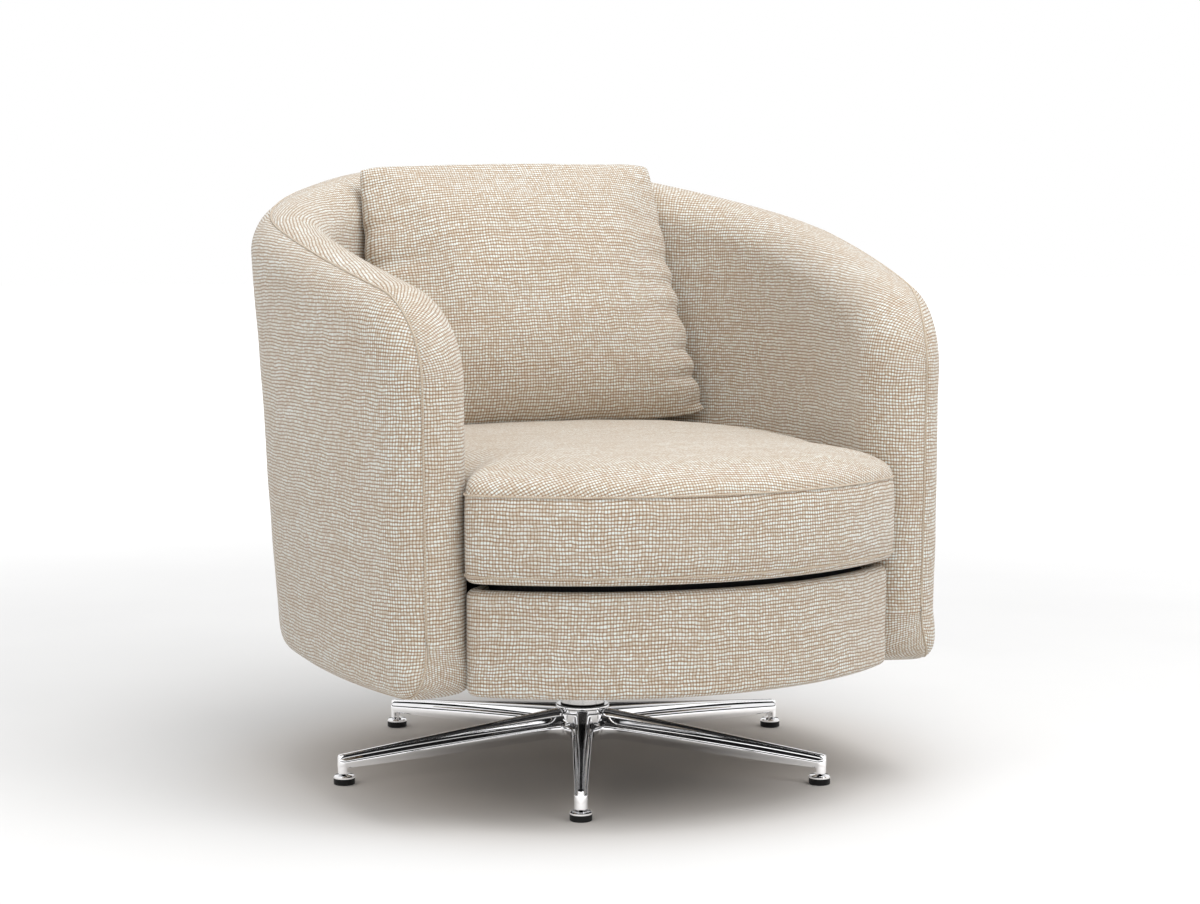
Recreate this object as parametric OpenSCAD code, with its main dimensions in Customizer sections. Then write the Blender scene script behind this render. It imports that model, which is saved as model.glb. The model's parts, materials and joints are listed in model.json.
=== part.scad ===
// Swivel barrel chair: an upholstered tub shell on a plywood carcass, with a loose seat cushion and
// a loose back pillow, turning on a five-legged polished star base with levelling glides.
// Millimetres. The floor is z = 0, the swivel axis is the Z axis, and the chair faces -Y.

/* [Overall] */
// Depth over everything, front of the seat cushion to the back of the shell
chair_depth = 854; // [800:2:900]
// Height of the shell's bottom edge above the floor
shell_bottom = 154; // [140:1:160]
// Height of the shell's rim at the middle of the back
rim_height = 776; // [740:2:820]
// Height of the seat, at the crown of the cushion
seat_height = 430; // [415:1:445]

/* [Shell] */
// Thickness of the upholstered wall, rounded over at its edges
wall = 103; // [92:1:112]
// Radius of the wall's mid line across the back
back_radius = 404; // [380:2:440]
// Length of that arc, from the middle of the back to where the corner starts
back_arc = 155; // [140:1:170]
// Radius of the mid line in the corners
corner_radius = 311; // [295:1:325]
// Length of each corner arc
corner_arc = 362; // [350:1:375]
// Radius of the mid line along the arms
side_radius = 1203; // [1000:10:2000]
// Distance of the middle of the arms' rounded noses behind the front of the seat cushion
nose_setback = 167; // [155:1:180]
// How far the rim falls from the back to the front of an arm
rim_fall = 159; // [140:1:175]
// Radius of the nose's upper corner, at the middle of the wall
nose_radius = 66; // [50:1:80]
// Radius of the nose's lower corner, at the middle of the wall
toe_radius = 22; // [15:1:30]
// Outward lean of the wall at the back, per unit of height
back_lean = 0.06; // [0.03:0.005:0.08]
// Outward lean of the wall at the noses, per unit of height
nose_lean = 0.012; // [0:0.002:0.03]
// Distance of the welted seam outward of the wall's middle
seam_offset = 24; // [15:1:30]
// Height of the welt cords above the covers
welt_height = 2; // [1:0.5:3]

/* [Seat cushion] */
// Height of the cushion's underside
cushion_bottom = 289; // [280:1:300]
// Radius of the cushion's convex front
cushion_front_radius = 422; // [400:2:500]
// Distance of the cushion's front corners inward of the middle of the noses
cushion_corner_inset = 37; // [36.5:0.5:43]
// Rise of the crown above the upper welt
cushion_crown = 40; // [25:1:50]
// Gap between the cushion and the wall
cushion_gap = 3.5; // [3.5:0.5:6]

/* [Back pillow] */
// Width of the pillow from corner to corner
pillow_width = 424; // [400:2:440]
// Height of the pillow from corner to corner
pillow_height = 358; // [340:1:380]
// Greatest thickness of the pillow
pillow_thickness = 140; // [110:2:150]
// Angle by which the pillow leans back
pillow_lean = 17; // [12:0.5:22]
// How far the pillow's sides are drawn in between its corners
pillow_draw = 6; // [3:1:12]
// How far the pillow's upper and lower edges swell between its corners
pillow_swell = 4; // [0:1:8]

/* [Skirt] */
// Height of the skirt's bottom edge
skirt_bottom = 158; // [154:1:166]
// Height of the skirt's top edge
skirt_top = 279; // [270:1:281]
// How far the skirt's front stands behind the cushion's front
skirt_setback = 9; // [6:1:16]
// Radius of the skirt's convex front
skirt_radius = 412; // [400:2:480]
// Distance of the skirt's front corners inward of the middle of the noses
skirt_corner_inset = 41; // [40:0.5:47]
// Thickness of the skirt's padding
skirt_thickness = 18; // [14:1:20]

/* [Star base] */
// Distance of each glide from the swivel axis
base_radius = 330; // [300:2:350]
// Angle between neighbouring legs
leg_spacing = 64; // [60:1:72]
// Angle of the leading leg from straight ahead
base_turn = -23.5; // [-36:0.5:36]
// Width of a leg where it leaves the hub
leg_root_width = 29; // [25:0.5:33]
// Width of a leg at its tip
leg_tip_width = 16.6; // [15:0.2:19]
// Height of a leg's top at the hub
leg_root_top = 70; // [66:0.5:71]
// Height of a leg's top at its tip
leg_tip_top = 38; // [36:0.5:42]
// Height of the hub's top ring
hub_top = 74; // [72:0.5:76]
// Diameter of the hub's top ring
hub_ring_d = 70; // [66:1:76]

/* [Glides] */
// Diameter of a glide's cap and pad
glide_d = 26.6; // [24:0.2:30]
// Height of the rubber pad
pad_height = 8; // [6:0.5:9]
// Diameter of the threaded stem
stem_d = 6; // [5:0.5:7]

/* [Swivel column] */
// Diameter of the column's satin sleeve
sleeve_d = 58; // [56:1:62]
// Diameter of the fixed spindle
spindle_d = 28; // [24:1:30]
// Side of the square top plate
plate_side = 190; // [176:2:220]
// Thickness of the top plate
plate_thickness = 4; // [3:0.5:4.5]
// Side of the square that the plate's bolts stand on
bolt_spacing = 150; // [130:5:160]

/* [Carcass] */
// Thickness of the plywood boards
ply = 18; // [15:1:21]
// Thickness of the bent plywood frame inside the wall
frame_thickness = 22; // [18:1:26]
// Number of webbing straps each way
strap_count = 5; // [3:1:5]
// Width of a webbing strap
strap_width = 48; // [40:2:52]

/* [Hidden] */

fabric = "#e3d9c8";
timber = "#c9a878";
chrome = "#c8cbd0";
steel = "#9a9da2";
black = "#1c1c1c";
nylon = "#e8e6df";

// Clearances: resting faces, running fits, pressed fits and the overrun of a cut
rest_gap = 0.3;
run_gap = 0.05;
press_gap = 0.02;
overrun = 1;
deg = 180 / PI;

// Shell plan: the wall's mid line is three tangent arcs, measured by u along it from the back's middle
half_wall = wall / 2;
lean_datum = seat_height;
mid_top = rim_height - half_wall;
mid_bottom = shell_bottom + half_wall;
back_y = chair_depth / 2 - half_wall - back_lean * (mid_top - lean_datum);
back_turn = back_arc / back_radius * deg;
corner_turn = back_turn + corner_arc / corner_radius * deg;
function heading(a) = [sin(a), cos(a)];
back_centre = [0, back_y - back_radius];
corner_centre = back_centre + (back_radius - corner_radius) * heading(back_turn);
side_centre = corner_centre + (corner_radius - side_radius) * heading(corner_turn);
nose_turn = acos((nose_setback - chair_depth / 2 - side_centre.y) / side_radius);
nose_u = back_arc + corner_arc + (nose_turn - corner_turn) * side_radius / deg;
nose_x = side_centre.x + side_radius * sin(nose_turn);
function wall_turn(u) =
    u < back_arc ? u / back_radius * deg :
    u < back_arc + corner_arc ? back_turn + (u - back_arc) / corner_radius * deg :
    corner_turn + (min(u, nose_u) - back_arc - corner_arc) / side_radius * deg;
function wall_mid(u) =
    u < back_arc ? back_centre + back_radius * heading(wall_turn(u)) :
    u < back_arc + corner_arc ? corner_centre + corner_radius * heading(wall_turn(u)) :
    side_centre + side_radius * heading(wall_turn(u))
        + max(0, u - nose_u) * [cos(nose_turn), -sin(nose_turn)];

// The lean fades from the back to the noses over the front half of the wall
lean_start_share = 0.5;
function smooth(t) = let (c = min(1, max(0, t))) c * c * (3 - 2 * c);
function wall_lean(u) =
    back_lean + (nose_lean - back_lean) * smooth((u / nose_u - lean_start_share) / (1 - lean_start_share));
// A point of the wall: u along it, z up, n outward of its mid surface; side is 1 or -1
function wall_point(u, z, n, side) =
    let (off = n + wall_lean(u) * (z - lean_datum), p = wall_mid(u) + off * heading(wall_turn(u)))
    [side * p.x, p.y, z];

// The rim stays level along the back, then falls in a straight line along each arm
fall_start_share = 0.2;
fall_blend_share = 0.06;
function ramp(t) = (t - fall_start_share
    + sqrt(pow(t - fall_start_share, 2) + pow(fall_blend_share, 2))) / 2;
function ramp_slope(t) = (1 + (t - fall_start_share)
    / sqrt(pow(t - fall_start_share, 2) + pow(fall_blend_share, 2))) / 2;
fall_scale = rim_fall / (ramp(1) - ramp(0));
function rim_mid(u) = mid_top - fall_scale * (ramp(u / nose_u) - ramp(0));
function rim_slope(u) = fall_scale * ramp_slope(u / nose_u) / nose_u;

// The outline of the mid surface, unrolled: each entry is [u, z, outward normal in u, in z]
nose_tilt = atan(rim_slope(nose_u - nose_radius));
nose_centre = [nose_u - nose_radius, rim_mid(nose_u - nose_radius) - nose_radius / cos(nose_tilt)];
toe_centre = [nose_u - toe_radius, mid_bottom + toe_radius];
rim_end = nose_centre.x + nose_radius * sin(nose_tilt);
function rim_entries(count) = [for (i = [0:count])
    let (u = rim_end * i / count, a = atan(rim_slope(u))) [u, rim_mid(u), sin(a), cos(a)]];
function bend_entries(centre, r, from, to, steps) = [for (i = [0:steps])
    let (a = from + (to - from) * i / steps)
    [centre.x + r * cos(a), centre.y + r * sin(a), cos(a), sin(a)]];
function hem_entries(count) = [for (i = [count:-1:0]) [toe_centre.x * i / count, mid_bottom, 0, -1]];
function half_outline(run, bend) =
    concat(rim_entries(run),
        bend_entries(nose_centre, nose_radius, (90 - nose_tilt) * (1 - 1 / bend), 0, bend - 1),
        bend_entries(toe_centre, toe_radius, 0, -90 * (1 - 1 / bend), bend - 1),
        hem_entries(run));

// Rounding of the wall's edge: angles from its inner face to its outer face, with the welt's ridge
welt_half_width = 2.5;
seam_angle = asin(seam_offset / half_wall);
welt_half_angle = welt_half_width / half_wall * deg;
edge_angles = concat([for (a = [-90:22.5:0]) a],
    [seam_angle - welt_half_angle, seam_angle, seam_angle + welt_half_angle],
    [for (k = [1:3]) seam_angle + (90 - seam_angle) * k / 3]);
// The edge is round along the rim and the noses, and squarer the more it faces down
hem_square = 2.4;
function edge_point(e, angle, side) =
    let (r = half_wall + (angle == seam_angle ? welt_height : 0),
        power = 2 / (2 + hem_square * pow(max(0, -e[3]), 2)),
        c = r * pow(cos(angle), power), n = r * sign(angle) * pow(abs(sin(angle)), power))
    wall_point(e[0] + e[2] * c, e[1] + e[3] * c, n, side);

// A closed form over the unrolled outline: one loop of points per edge angle
module wall_form(run, bend) {
    half = half_outline(run, bend);
    last = len(half) - 1;
    loop = 2 * last;
    rings = [for (angle = edge_angles) concat(
        [for (i = [0:last]) edge_point(half[i], angle, 1)],
        [for (i = [last - 1:-1:1]) edge_point(half[i], angle, -1)])];
    top = len(rings) - 1;
    bands = [for (k = [0:top - 1], i = [0:loop - 1])
        let (a = k * loop + i, b = k * loop + (i + 1) % loop)
        each [[a, b + loop, b], [a, a + loop, b + loop]]];
    rungs = (last - 1) / 2;
    ladders = concat(
        [for (i = [0:rungs - 1]) [i, i + 1, last - 1 - i, last - i]],
        [for (i = [0:rungs - 1]) [last + i, last + 1 + i, loop - 1 - i, (loop - i) % loop]]);
    inner = [for (q = ladders) each [[q[0], q[1], q[2]], [q[0], q[2], q[3]]]];
    outer = [for (f = inner) [for (k = [0, 2, 1]) f[k] + top * loop]];
    polyhedron([for (r = rings) each r], concat(bands, inner, outer));
}

// Loft through equal rings of points, closed at both ends
module loft(rings) {
    size = len(rings[0]);
    end = size * (len(rings) - 1);
    sides = [for (k = [0:len(rings) - 2], i = [0:size - 1])
        let (a = k * size + i, b = k * size + (i + 1) % size)
        each [[a, b, b + size], [a, b + size, a + size]]];
    polyhedron([for (r = rings) each r], concat([[for (i = [size - 1:-1:0]) i]], sides,
        [[for (i = [0:size - 1]) end + i]]));
}

// Frame inside the wall, and its slot in the padding, open at the bottom
frame_hem = 10;
frame_rim_margin = 30;
frame_nose_margin = 12;
frame_run = 14;
module wall_board(thickness, low, rim_margin, end_u) {
    function corner(a, side, z, n) = wall_point(a, z, n * thickness / 2, side);
    loft([for (i = [-frame_run:frame_run])
        let (a = end_u * abs(i) / frame_run, side = i < 0 ? -1 : 1, high = rim_mid(a) - rim_margin)
        [corner(a, side, low, -1), corner(a, side, high, -1),
            corner(a, side, high, 1), corner(a, side, low, 1)]]);
}

// Points of an arc about a centre, by angle from straight ahead (-Y) towards +X
function front_arc(centre, r, from, to, steps) = [for (i = [0:steps])
    let (a = from + (to - from) * i / steps) centre + r * [sin(a), -cos(a)]];
// Points of a box from low to high with a radius at each corner: low x, low y first, anticlockwise
function rounded_box(low, high, radii, steps) =
    let (corners = [low, [high.x, low.y], high, [low.x, high.y]],
        inward = [[1, 1], [-1, 1], [-1, -1], [1, -1]])
    [for (k = [0:3], i = [0:steps])
        let (a = 180 + 90 * k + 90 * i / steps)
        corners[k] + radii[k] * (inward[k] + [cos(a), sin(a)])];

// Skirt: a band round the front whose ends turn back into the gaps between seat and arms
skirt_centre = [0, skirt_radius + skirt_setback - chair_depth / 2];
skirt_corner_r = 26;
skirt_edge_r = 11;
skirt_back_r = 3;
skirt_gap = 0.8;
skirt_return = 25;
skirt_return_turn = 130;
skirt_corner_a = asin((nose_x - skirt_corner_inset - skirt_corner_r) / (skirt_radius - skirt_corner_r));
skirt_corner = skirt_centre
    + (skirt_radius - skirt_corner_r) * [sin(skirt_corner_a), -cos(skirt_corner_a)];

// Carcass: two flat boards inside the wall, with blocks between them and a bent board behind the skirt
board_rise = 6;
board_low = skirt_bottom + board_rise;
cover_gap = 0.2;
ring_drop = 17;
ring_top = skirt_top - ring_drop;
ring_low = ring_top - ply;
ring_width = 55;
front_ply = 12;
front_board_r = skirt_radius - skirt_thickness - skirt_gap;
carcass_front_r = front_board_r - front_ply - press_gap;
carcass_nose_margin = 6;
carcass_end_u = nose_u - carcass_nose_margin;
carcass_step_gap = 1.5;
carcass_step_x = skirt_corner.x + (skirt_corner_r - skirt_thickness) * sin(skirt_return_turn)
    + skirt_return * cos(skirt_return_turn) - carcass_step_gap;
wall_steps = 22;
front_steps = 12;
// Half the outline of a flat board inside the wall: its inset from the wall, its own front radius and
// the half width at which it steps in beside the skirt's returns
function carcass_half(inset, r, step_x) =
    let (last = wall_point(carcass_end_u - inset, board_low, -half_wall - inset, 1))
    concat([for (i = [0:wall_steps])
            let (p = wall_point((carcass_end_u - inset) * i / wall_steps, board_low,
                -half_wall - inset, 1)) [p.x, p.y]],
        [[step_x, last.y]], front_arc(skirt_centre, r, asin(step_x / r), 0, front_steps));
module carcass_sheet(low, high, inset = rest_gap, r = carcass_front_r, step_x = carcass_step_x) {
    half = carcass_half(inset, r, step_x);
    last = len(half) - 1;
    translate([0, 0, low]) linear_extrude(high - low)
        polygon(concat(half, [for (i = [last - 1:-1:1]) [-half[i].x, half[i].y]]));
}

// Blocks between the boards, and the bolts that hold the bent frame to them through the padding
block_width = 60;
block_depth = 45;
block_reach = 40;
block_shares = [0.08, 0.42, 0.78];
bolt_z = (board_low + ply + ring_low) / 2;
shell_bolt_d = 8;
shell_bolt_bite = 14;
shell_bolt_head_d = 16;
shell_bolt_head = 4.5;
// Placed on the wall's inner face, with local +X outward through the wall
module at_wall(u, z, side) {
    translate(wall_point(u, z, -half_wall, side)) rotate([0, 0, 90 - side * wall_turn(u)]) children();
}
module each_block() {
    for (share = block_shares, side = [-1, 1]) at_wall(share * nose_u, bolt_z, side) children();
}
module shell_bolt_shaft(gap, bite) {
    reach = half_wall - frame_thickness / 2 + bite;
    rotate([0, 90, 0]) translate([0, 0, -block_depth - shell_bolt_head])
        cylinder(d = shell_bolt_d + 2 * gap, h = reach + block_depth + shell_bolt_head, $fn = 24);
}

// Webbing and deck
strap_thickness = 2;
strap_margin = 8;
strap_half_span = corner_centre.x + corner_radius - half_wall - ring_width;
strap_back = back_y - half_wall - ring_width;
strap_front = skirt_centre.y - carcass_front_r + ring_width;
deck_low = ring_top + 2 * strap_thickness + rest_gap;
deck_top = cushion_bottom - rest_gap;
deck_inset = 1.5;
deck_front_inset = 7;
dust_cover_thickness = 0.8;
dust_cover_inset = 5;

// Swivel column: the spindle stands in the hub, the tube turns on it and carries the top plate
plate_top = board_low;
plate_low = plate_top - plate_thickness;
plate_corner_r = 14;
hub_bottom = 30;
hub_recess_d = 48;
hub_recess_depth = 12;
hub_r = 36;
hub_foot_r = 31;
neck_r = 31;
neck_height = 3.5;
ring_height = 5;
ring_round = 1.6;
race_pocket = 6.5;
race_pocket_d = 46;
race_floor = hub_top - race_pocket;
race_thickness = 2.5;
ball_d = 5;
ball_count = 16;
ball_ring_r = 18.5;
cage_thickness = 1.6;
cage_half_width = 3.6;
race_top = race_floor + 2 * race_thickness + ball_d + 2 * run_gap;
spindle_r = spindle_d / 2;
spindle_foot_d = 20;
shoulder_rise = 6;
spindle_shoulder = hub_bottom + hub_recess_depth + shoulder_rise;
spindle_tip = 1.5;
washer_thickness = 2;
washer_d = 40;
nut_width = 30;
nut_height = 9;
tube_wall = 5;
bush_wall = 3;
tube_inner_r = spindle_r + run_gap + bush_wall + press_gap;
tube_outer_r = tube_inner_r + tube_wall;
bush_height = 25;
bush_inset = 3;
clip_thickness = 1.6;
clip_depth = 1.4;
clip_reach = 2.4;
column_head_room = 16;
spindle_end_rise = 6.4;
clip_low = plate_low - column_head_room;
upper_bush_top = clip_low - clip_thickness;
spindle_top = clip_low + spindle_end_rise;
sleeve_wall = 3;
seal_thickness = 1.5;
sleeve_low = hub_top + seal_thickness + press_gap;
plate_bolt_d = 8;
plate_bolt_head_d = 15;
plate_bolt_head = 4;
tee_nut_d = 22;
tee_nut_flange = 1.6;
bolt_crown_d = 10.5;
clip_opening = 9;

// Star base legs: sections across a leg at distances s from the swivel axis, with a raised crown
leg_angles = [for (k = [0, -1, 1, -2, 2]) base_turn + k * leg_spacing];
leg_start = 30;
leg_start_half = 17.5;
leg_fillet_end = 60;
leg_fillet_r = 21;
leg_root_bottom = 34;
leg_tip_bottom = 21;
leg_sag_power = 1.25;
crown_root_half = 7.6;
crown_tip_half = 2.2;
crown_rise = 8.2;
crown_fade_power = 1.5;
bead_width = 1.4;
bead_height = 0.7;
groove_root_drop = 9;
groove_tip_drop = 5;
leg_edge_r = 3;
// Shares of the leg's section: the raised crown, the groove below its bead, and the widest edges
crown_width_share = 0.6;
crown_fall_share = 0.35;
groove_width_share = 0.5;
groove_depth_share = 0.75;
crown_limit_share = 0.5;
bead_limit_share = 0.125;
edge_limit_share = 0.33;
tip_round = 3;
lip_rise = 5.4;
lip_bottom = pad_height + lip_rise;
lip_wall = 3.7;
lip_hollow_r = leg_tip_width / 2 - lip_wall;
bore_cover = 5;
lip_open = 1.2;
lip_inset = 0.6;
tip_half = leg_tip_width / 2;
lip_height = leg_tip_bottom + leg_edge_r - lip_bottom;
leg_stations = concat([leg_start],
    [for (a = [30:20:90]) leg_fillet_end - leg_fillet_r * cos(a)],
    [for (k = [1:5]) leg_fillet_end + (base_radius - tip_half - leg_fillet_end) * k / 5],
    [for (a = [-40, 0, 35, 65, 82]) base_radius + tip_half * sin(a)]);
function leg_t(s) = min(1, max(0, (s - leg_start) / (base_radius - leg_start)));
function mix(a, b, t) = a + (b - a) * t;
function leg_half(s) =
    s <= leg_start ? leg_start_half :
    s > base_radius ? sqrt(max(0, tip_half * tip_half - pow(s - base_radius, 2))) :
    mix(leg_root_width, leg_tip_width, leg_t(s)) / 2
        + (s < leg_fillet_end ? leg_fillet_r - sqrt(pow(leg_fillet_r, 2) - pow(leg_fillet_end - s, 2)) : 0);
function leg_top(s) = mix(leg_tip_top, leg_root_top, 1 - leg_t(s))
    - (s > base_radius ? tip_round * (1 - sqrt(1 - pow((s - base_radius) / tip_half, 2))) : 0);
function leg_bottom(s) = mix(leg_tip_bottom, leg_root_bottom, pow(1 - leg_t(s), leg_sag_power));
function leg_section(s) =
    let (w = leg_half(s), top = leg_top(s), low = leg_bottom(s), t = leg_t(s),
        c = min(mix(crown_root_half, crown_tip_half, t), w * crown_limit_share),
        fall = crown_rise * pow(1 - t, crown_fade_power),
        drop = min(mix(groove_root_drop, groove_tip_drop, t), w),
        bead = min(bead_width, w * bead_limit_share), edge = min(leg_edge_r, w * edge_limit_share),
        half = concat(
            [[c * crown_width_share, top - fall * crown_fall_share], [c, top - fall - bead_height],
                [c + bead, top - fall],
                [mix(c + bead, w, groove_width_share), top - fall - drop * groove_depth_share],
                [w, top - fall - drop]],
            [for (a = [0:45:90]) [w - edge * (1 - cos(a)), low + edge * (1 - sin(a))]]))
    concat([[s, 0, top]], [for (q = half) [s, q.x, q.y]],
        [for (k = [len(half) - 1:-1:0]) [s, -half[k].x, half[k].y]]);

module at_leg(k) { rotate([0, 0, leg_angles[k] - 90]) children(); }

module hub_form() {
    neck_low = hub_top - ring_height - neck_height;
    ring_low = hub_top - ring_height;
    ring_r = hub_ring_d / 2;
    ring_edge = [for (a = [0:22.5:90]) [ring_r - ring_round * (1 - cos(a)),
        hub_top - ring_round * (1 - sin(a))]];
    rotate_extrude($fn = 96) polygon(concat(
        [[0, hub_bottom], [hub_foot_r, hub_bottom], [hub_r, leg_root_bottom], [hub_r, neck_low],
            [neck_r, neck_low], [neck_r, ring_low], [ring_r - ring_round, ring_low],
            [ring_r, ring_low + ring_round]], ring_edge, [[0, hub_top]]));
}
module star_base() {
    color(chrome) difference() {
        union() {
            hub_form();
            for (k = [0:len(leg_angles) - 1]) at_leg(k) {
                loft([for (s = leg_stations) leg_section(s)]);
                translate([base_radius, 0, lip_bottom])
                    cylinder(r = tip_half - lip_inset, h = lip_height, $fn = 32);
            }
        }
        translate([0, 0, hub_bottom - overrun])
            cylinder(d = hub_recess_d, h = hub_recess_depth + overrun, $fn = 64);
        translate([0, 0, hub_bottom])
            cylinder(r = spindle_foot_d / 2 + press_gap, h = hub_top, $fn = 64);
        translate([0, 0, spindle_shoulder])
            cylinder(r = spindle_r + press_gap, h = hub_top, $fn = 64);
        translate([0, 0, race_floor])
            cylinder(d = race_pocket_d, h = hub_top, $fn = 64);
        for (k = [0:len(leg_angles) - 1]) at_leg(k) translate([base_radius, 0, 0]) {
            cylinder(r = stem_d / 2 + run_gap, h = leg_tip_top - bore_cover, $fn = 32);
            cylinder(r = lip_hollow_r, h = leg_tip_bottom - press_gap, $fn = 32);
            translate([-glide_d - lip_open, -glide_d / 2, 0])
                cube([glide_d, glide_d, leg_tip_bottom - press_gap]);
        }
    }
}

// Ring of rectangular section about the Z axis
module ring(inner_r, outer_r, low, high) {
    rotate_extrude($fn = 64) translate([inner_r, low]) square([outer_r - inner_r, high - low]);
}
module spindle() {
    groove_r = spindle_r - clip_depth;
    color(steel) rotate_extrude($fn = 64) polygon([[0, hub_bottom + press_gap],
        [spindle_foot_d / 2 - spindle_tip, hub_bottom + press_gap],
        [spindle_foot_d / 2, hub_bottom + spindle_tip],
        [spindle_foot_d / 2, spindle_shoulder], [spindle_r, spindle_shoulder],
        [spindle_r, clip_low - press_gap], [groove_r, clip_low - press_gap],
        [groove_r, clip_low + clip_thickness + press_gap],
        [spindle_r, clip_low + clip_thickness + press_gap],
        [spindle_r, spindle_top - spindle_tip], [spindle_r - spindle_tip, spindle_top],
        [0, spindle_top]]);
}
recess_top = hub_bottom + hub_recess_depth;
module spindle_washer() {
    color(steel) ring(spindle_foot_d / 2 + press_gap, washer_d / 2,
        recess_top - washer_thickness, recess_top);
}
module spindle_nut() {
    color(steel) difference() {
        translate([0, 0, recess_top - washer_thickness - nut_height])
            cylinder(d = nut_width / cos(30), h = nut_height, $fn = 6);
        translate([0, 0, hub_bottom - overrun])
            cylinder(r = spindle_foot_d / 2 + press_gap, h = hub_recess_depth, $fn = 64);
    }
}
race_outer_r = race_pocket_d / 2 - press_gap;
module lower_race() {
    color(steel) ring(spindle_r + press_gap, race_outer_r, race_floor, race_floor + race_thickness);
}
module upper_race() {
    color(steel) ring(spindle_r + rest_gap, tube_outer_r, race_top - race_thickness, race_top);
}
ball_z = race_floor + race_thickness + run_gap + ball_d / 2;
module at_balls() {
    for (k = [0:ball_count - 1]) rotate([0, 0, 360 * k / ball_count])
        translate([ball_ring_r, 0, ball_z]) children();
}
module bearing_balls() {
    color(steel) at_balls() sphere(d = ball_d, $fn = 24);
}
module ball_cage() {
    color("#b08d4f") difference() {
        ring(ball_ring_r - cage_half_width, ball_ring_r + cage_half_width,
            ball_z - cage_thickness / 2, ball_z + cage_thickness / 2);
        at_balls()
            cylinder(r = ball_d / 2 + run_gap, h = cage_thickness + overrun, center = true, $fn = 24);
    }
}
module dust_seal() {
    color(black) ring(race_pocket_d / 2 + rest_gap, sleeve_d / 2 - rest_gap,
        hub_top, hub_top + seal_thickness);
}
module clip_washer() {
    color(steel) ring(spindle_r + run_gap, tube_inner_r - rest_gap, upper_bush_top + run_gap,
        clip_low - run_gap);
}
module retaining_clip() {
    color(steel) difference() {
        ring(spindle_r - clip_depth + press_gap, spindle_r + clip_reach,
            clip_low, clip_low + clip_thickness);
        translate([0, -clip_opening / 2, clip_low - overrun])
            cube([spindle_d, clip_opening, clip_thickness + 2 * overrun]);
    }
}
module swivel_tube() {
    color(steel) ring(tube_inner_r, tube_outer_r, race_top, plate_low);
}
module bush(low) {
    color(nylon) ring(spindle_r + run_gap, tube_inner_r - press_gap, low, low + bush_height);
}
module lower_bush() { bush(race_top + bush_inset); }
module upper_bush() { bush(upper_bush_top - bush_height); }
module column_sleeve() {
    outer_r = sleeve_d / 2;
    inner_r = outer_r - sleeve_wall;
    color("#b9bcc2") {
        rotate_extrude($fn = 96) polygon([[inner_r, sleeve_low], [outer_r - ring_round, sleeve_low],
            [outer_r, sleeve_low + ring_round], [outer_r, plate_low - press_gap],
            [tube_outer_r + press_gap, plate_low - press_gap],
            [tube_outer_r + press_gap, plate_low - sleeve_wall], [inner_r, plate_low - sleeve_wall]]);
    }
}
module at_bolts() {
    for (x = [-1, 1], y = [-1, 1]) translate([x * bolt_spacing / 2, y * bolt_spacing / 2, 0]) children();
}
module top_plate() {
    half = plate_side / 2;
    color(steel) translate([0, 0, plate_low]) linear_extrude(plate_thickness) difference() {
        polygon(rounded_box([-half, -half], [half, half], [for (k = [0:3]) plate_corner_r], 4));
        circle(r = tube_inner_r, $fn = 64);
        at_bolts() circle(d = plate_bolt_d + rest_gap, $fn = 24);
    }
}
tee_nut_top = board_low + ply + tee_nut_flange;
module plate_bolts() {
    color(steel) at_bolts() {
        translate([0, 0, plate_low - plate_bolt_head])
            cylinder(d1 = bolt_crown_d, d2 = plate_bolt_head_d, h = plate_bolt_head, $fn = 32);
        translate([0, 0, plate_low - overrun])
            cylinder(d = plate_bolt_d, h = tee_nut_top - plate_low + overrun, $fn = 24);
    }
}
module tee_nuts() {
    color(steel) at_bolts() ring(plate_bolt_d / 2 + press_gap, tee_nut_d / 2,
        board_low + ply, board_low + ply + tee_nut_flange);
}
module lower_board() {
    color(timber) difference() {
        carcass_sheet(board_low, board_low + ply);
        translate([0, 0, board_low - overrun]) {
            cylinder(r = tube_outer_r, h = ply + 2 * overrun, $fn = 64);
            at_bolts() cylinder(d = plate_bolt_d + rest_gap, h = ply + 2 * overrun, $fn = 24);
        }
    }
}
module seat_ring() {
    color(timber) difference() {
        carcass_sheet(ring_low, ring_top);
        carcass_sheet(ring_low - overrun, ring_top + overrun, ring_width,
            carcass_front_r - ring_width, carcass_step_x - ring_width / 2);
    }
}
module carcass_blocks() {
    color(timber) difference() {
        intersection() {
            carcass_sheet(board_low + ply, ring_low);
            each_block() translate([-block_depth, -block_width / 2, -block_reach])
                cube([block_depth + ply, block_width, 2 * block_reach]);
        }
        each_block() shell_bolt_shaft(rest_gap / 2, shell_bolt_bite);
    }
}
module shell_bolts() {
    color(steel) each_block() {
        shell_bolt_shaft(0, shell_bolt_bite);
        rotate([0, -90, 0]) translate([0, 0, block_depth])
            cylinder(d = shell_bolt_head_d, h = shell_bolt_head, $fn = 32);
    }
}
module front_board() {
    reach = asin((carcass_step_x - carcass_step_gap) / front_board_r);
    color(timber) translate(skirt_centre) rotate([0, 0, -90 - reach])
        rotate_extrude(angle = 2 * reach, $fn = 96)
            translate([front_board_r - front_ply, board_low]) square([front_ply, ring_top - board_low]);
}
module shell_frame() {
    color(timber) difference() {
        wall_board(frame_thickness, shell_bottom + frame_hem, frame_rim_margin,
            nose_u - frame_nose_margin);
        each_block() shell_bolt_shaft(press_gap, shell_bolt_bite + rest_gap);
    }
}
module shell_cover() {
    color(fabric) difference() {
        wall_form(20, 5);
        wall_board(frame_thickness + 2 * rest_gap, shell_bottom - frame_hem,
            frame_rim_margin - rest_gap, nose_u - frame_nose_margin + rest_gap);
        each_block() shell_bolt_shaft(rest_gap, 0);
    }
}
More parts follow.
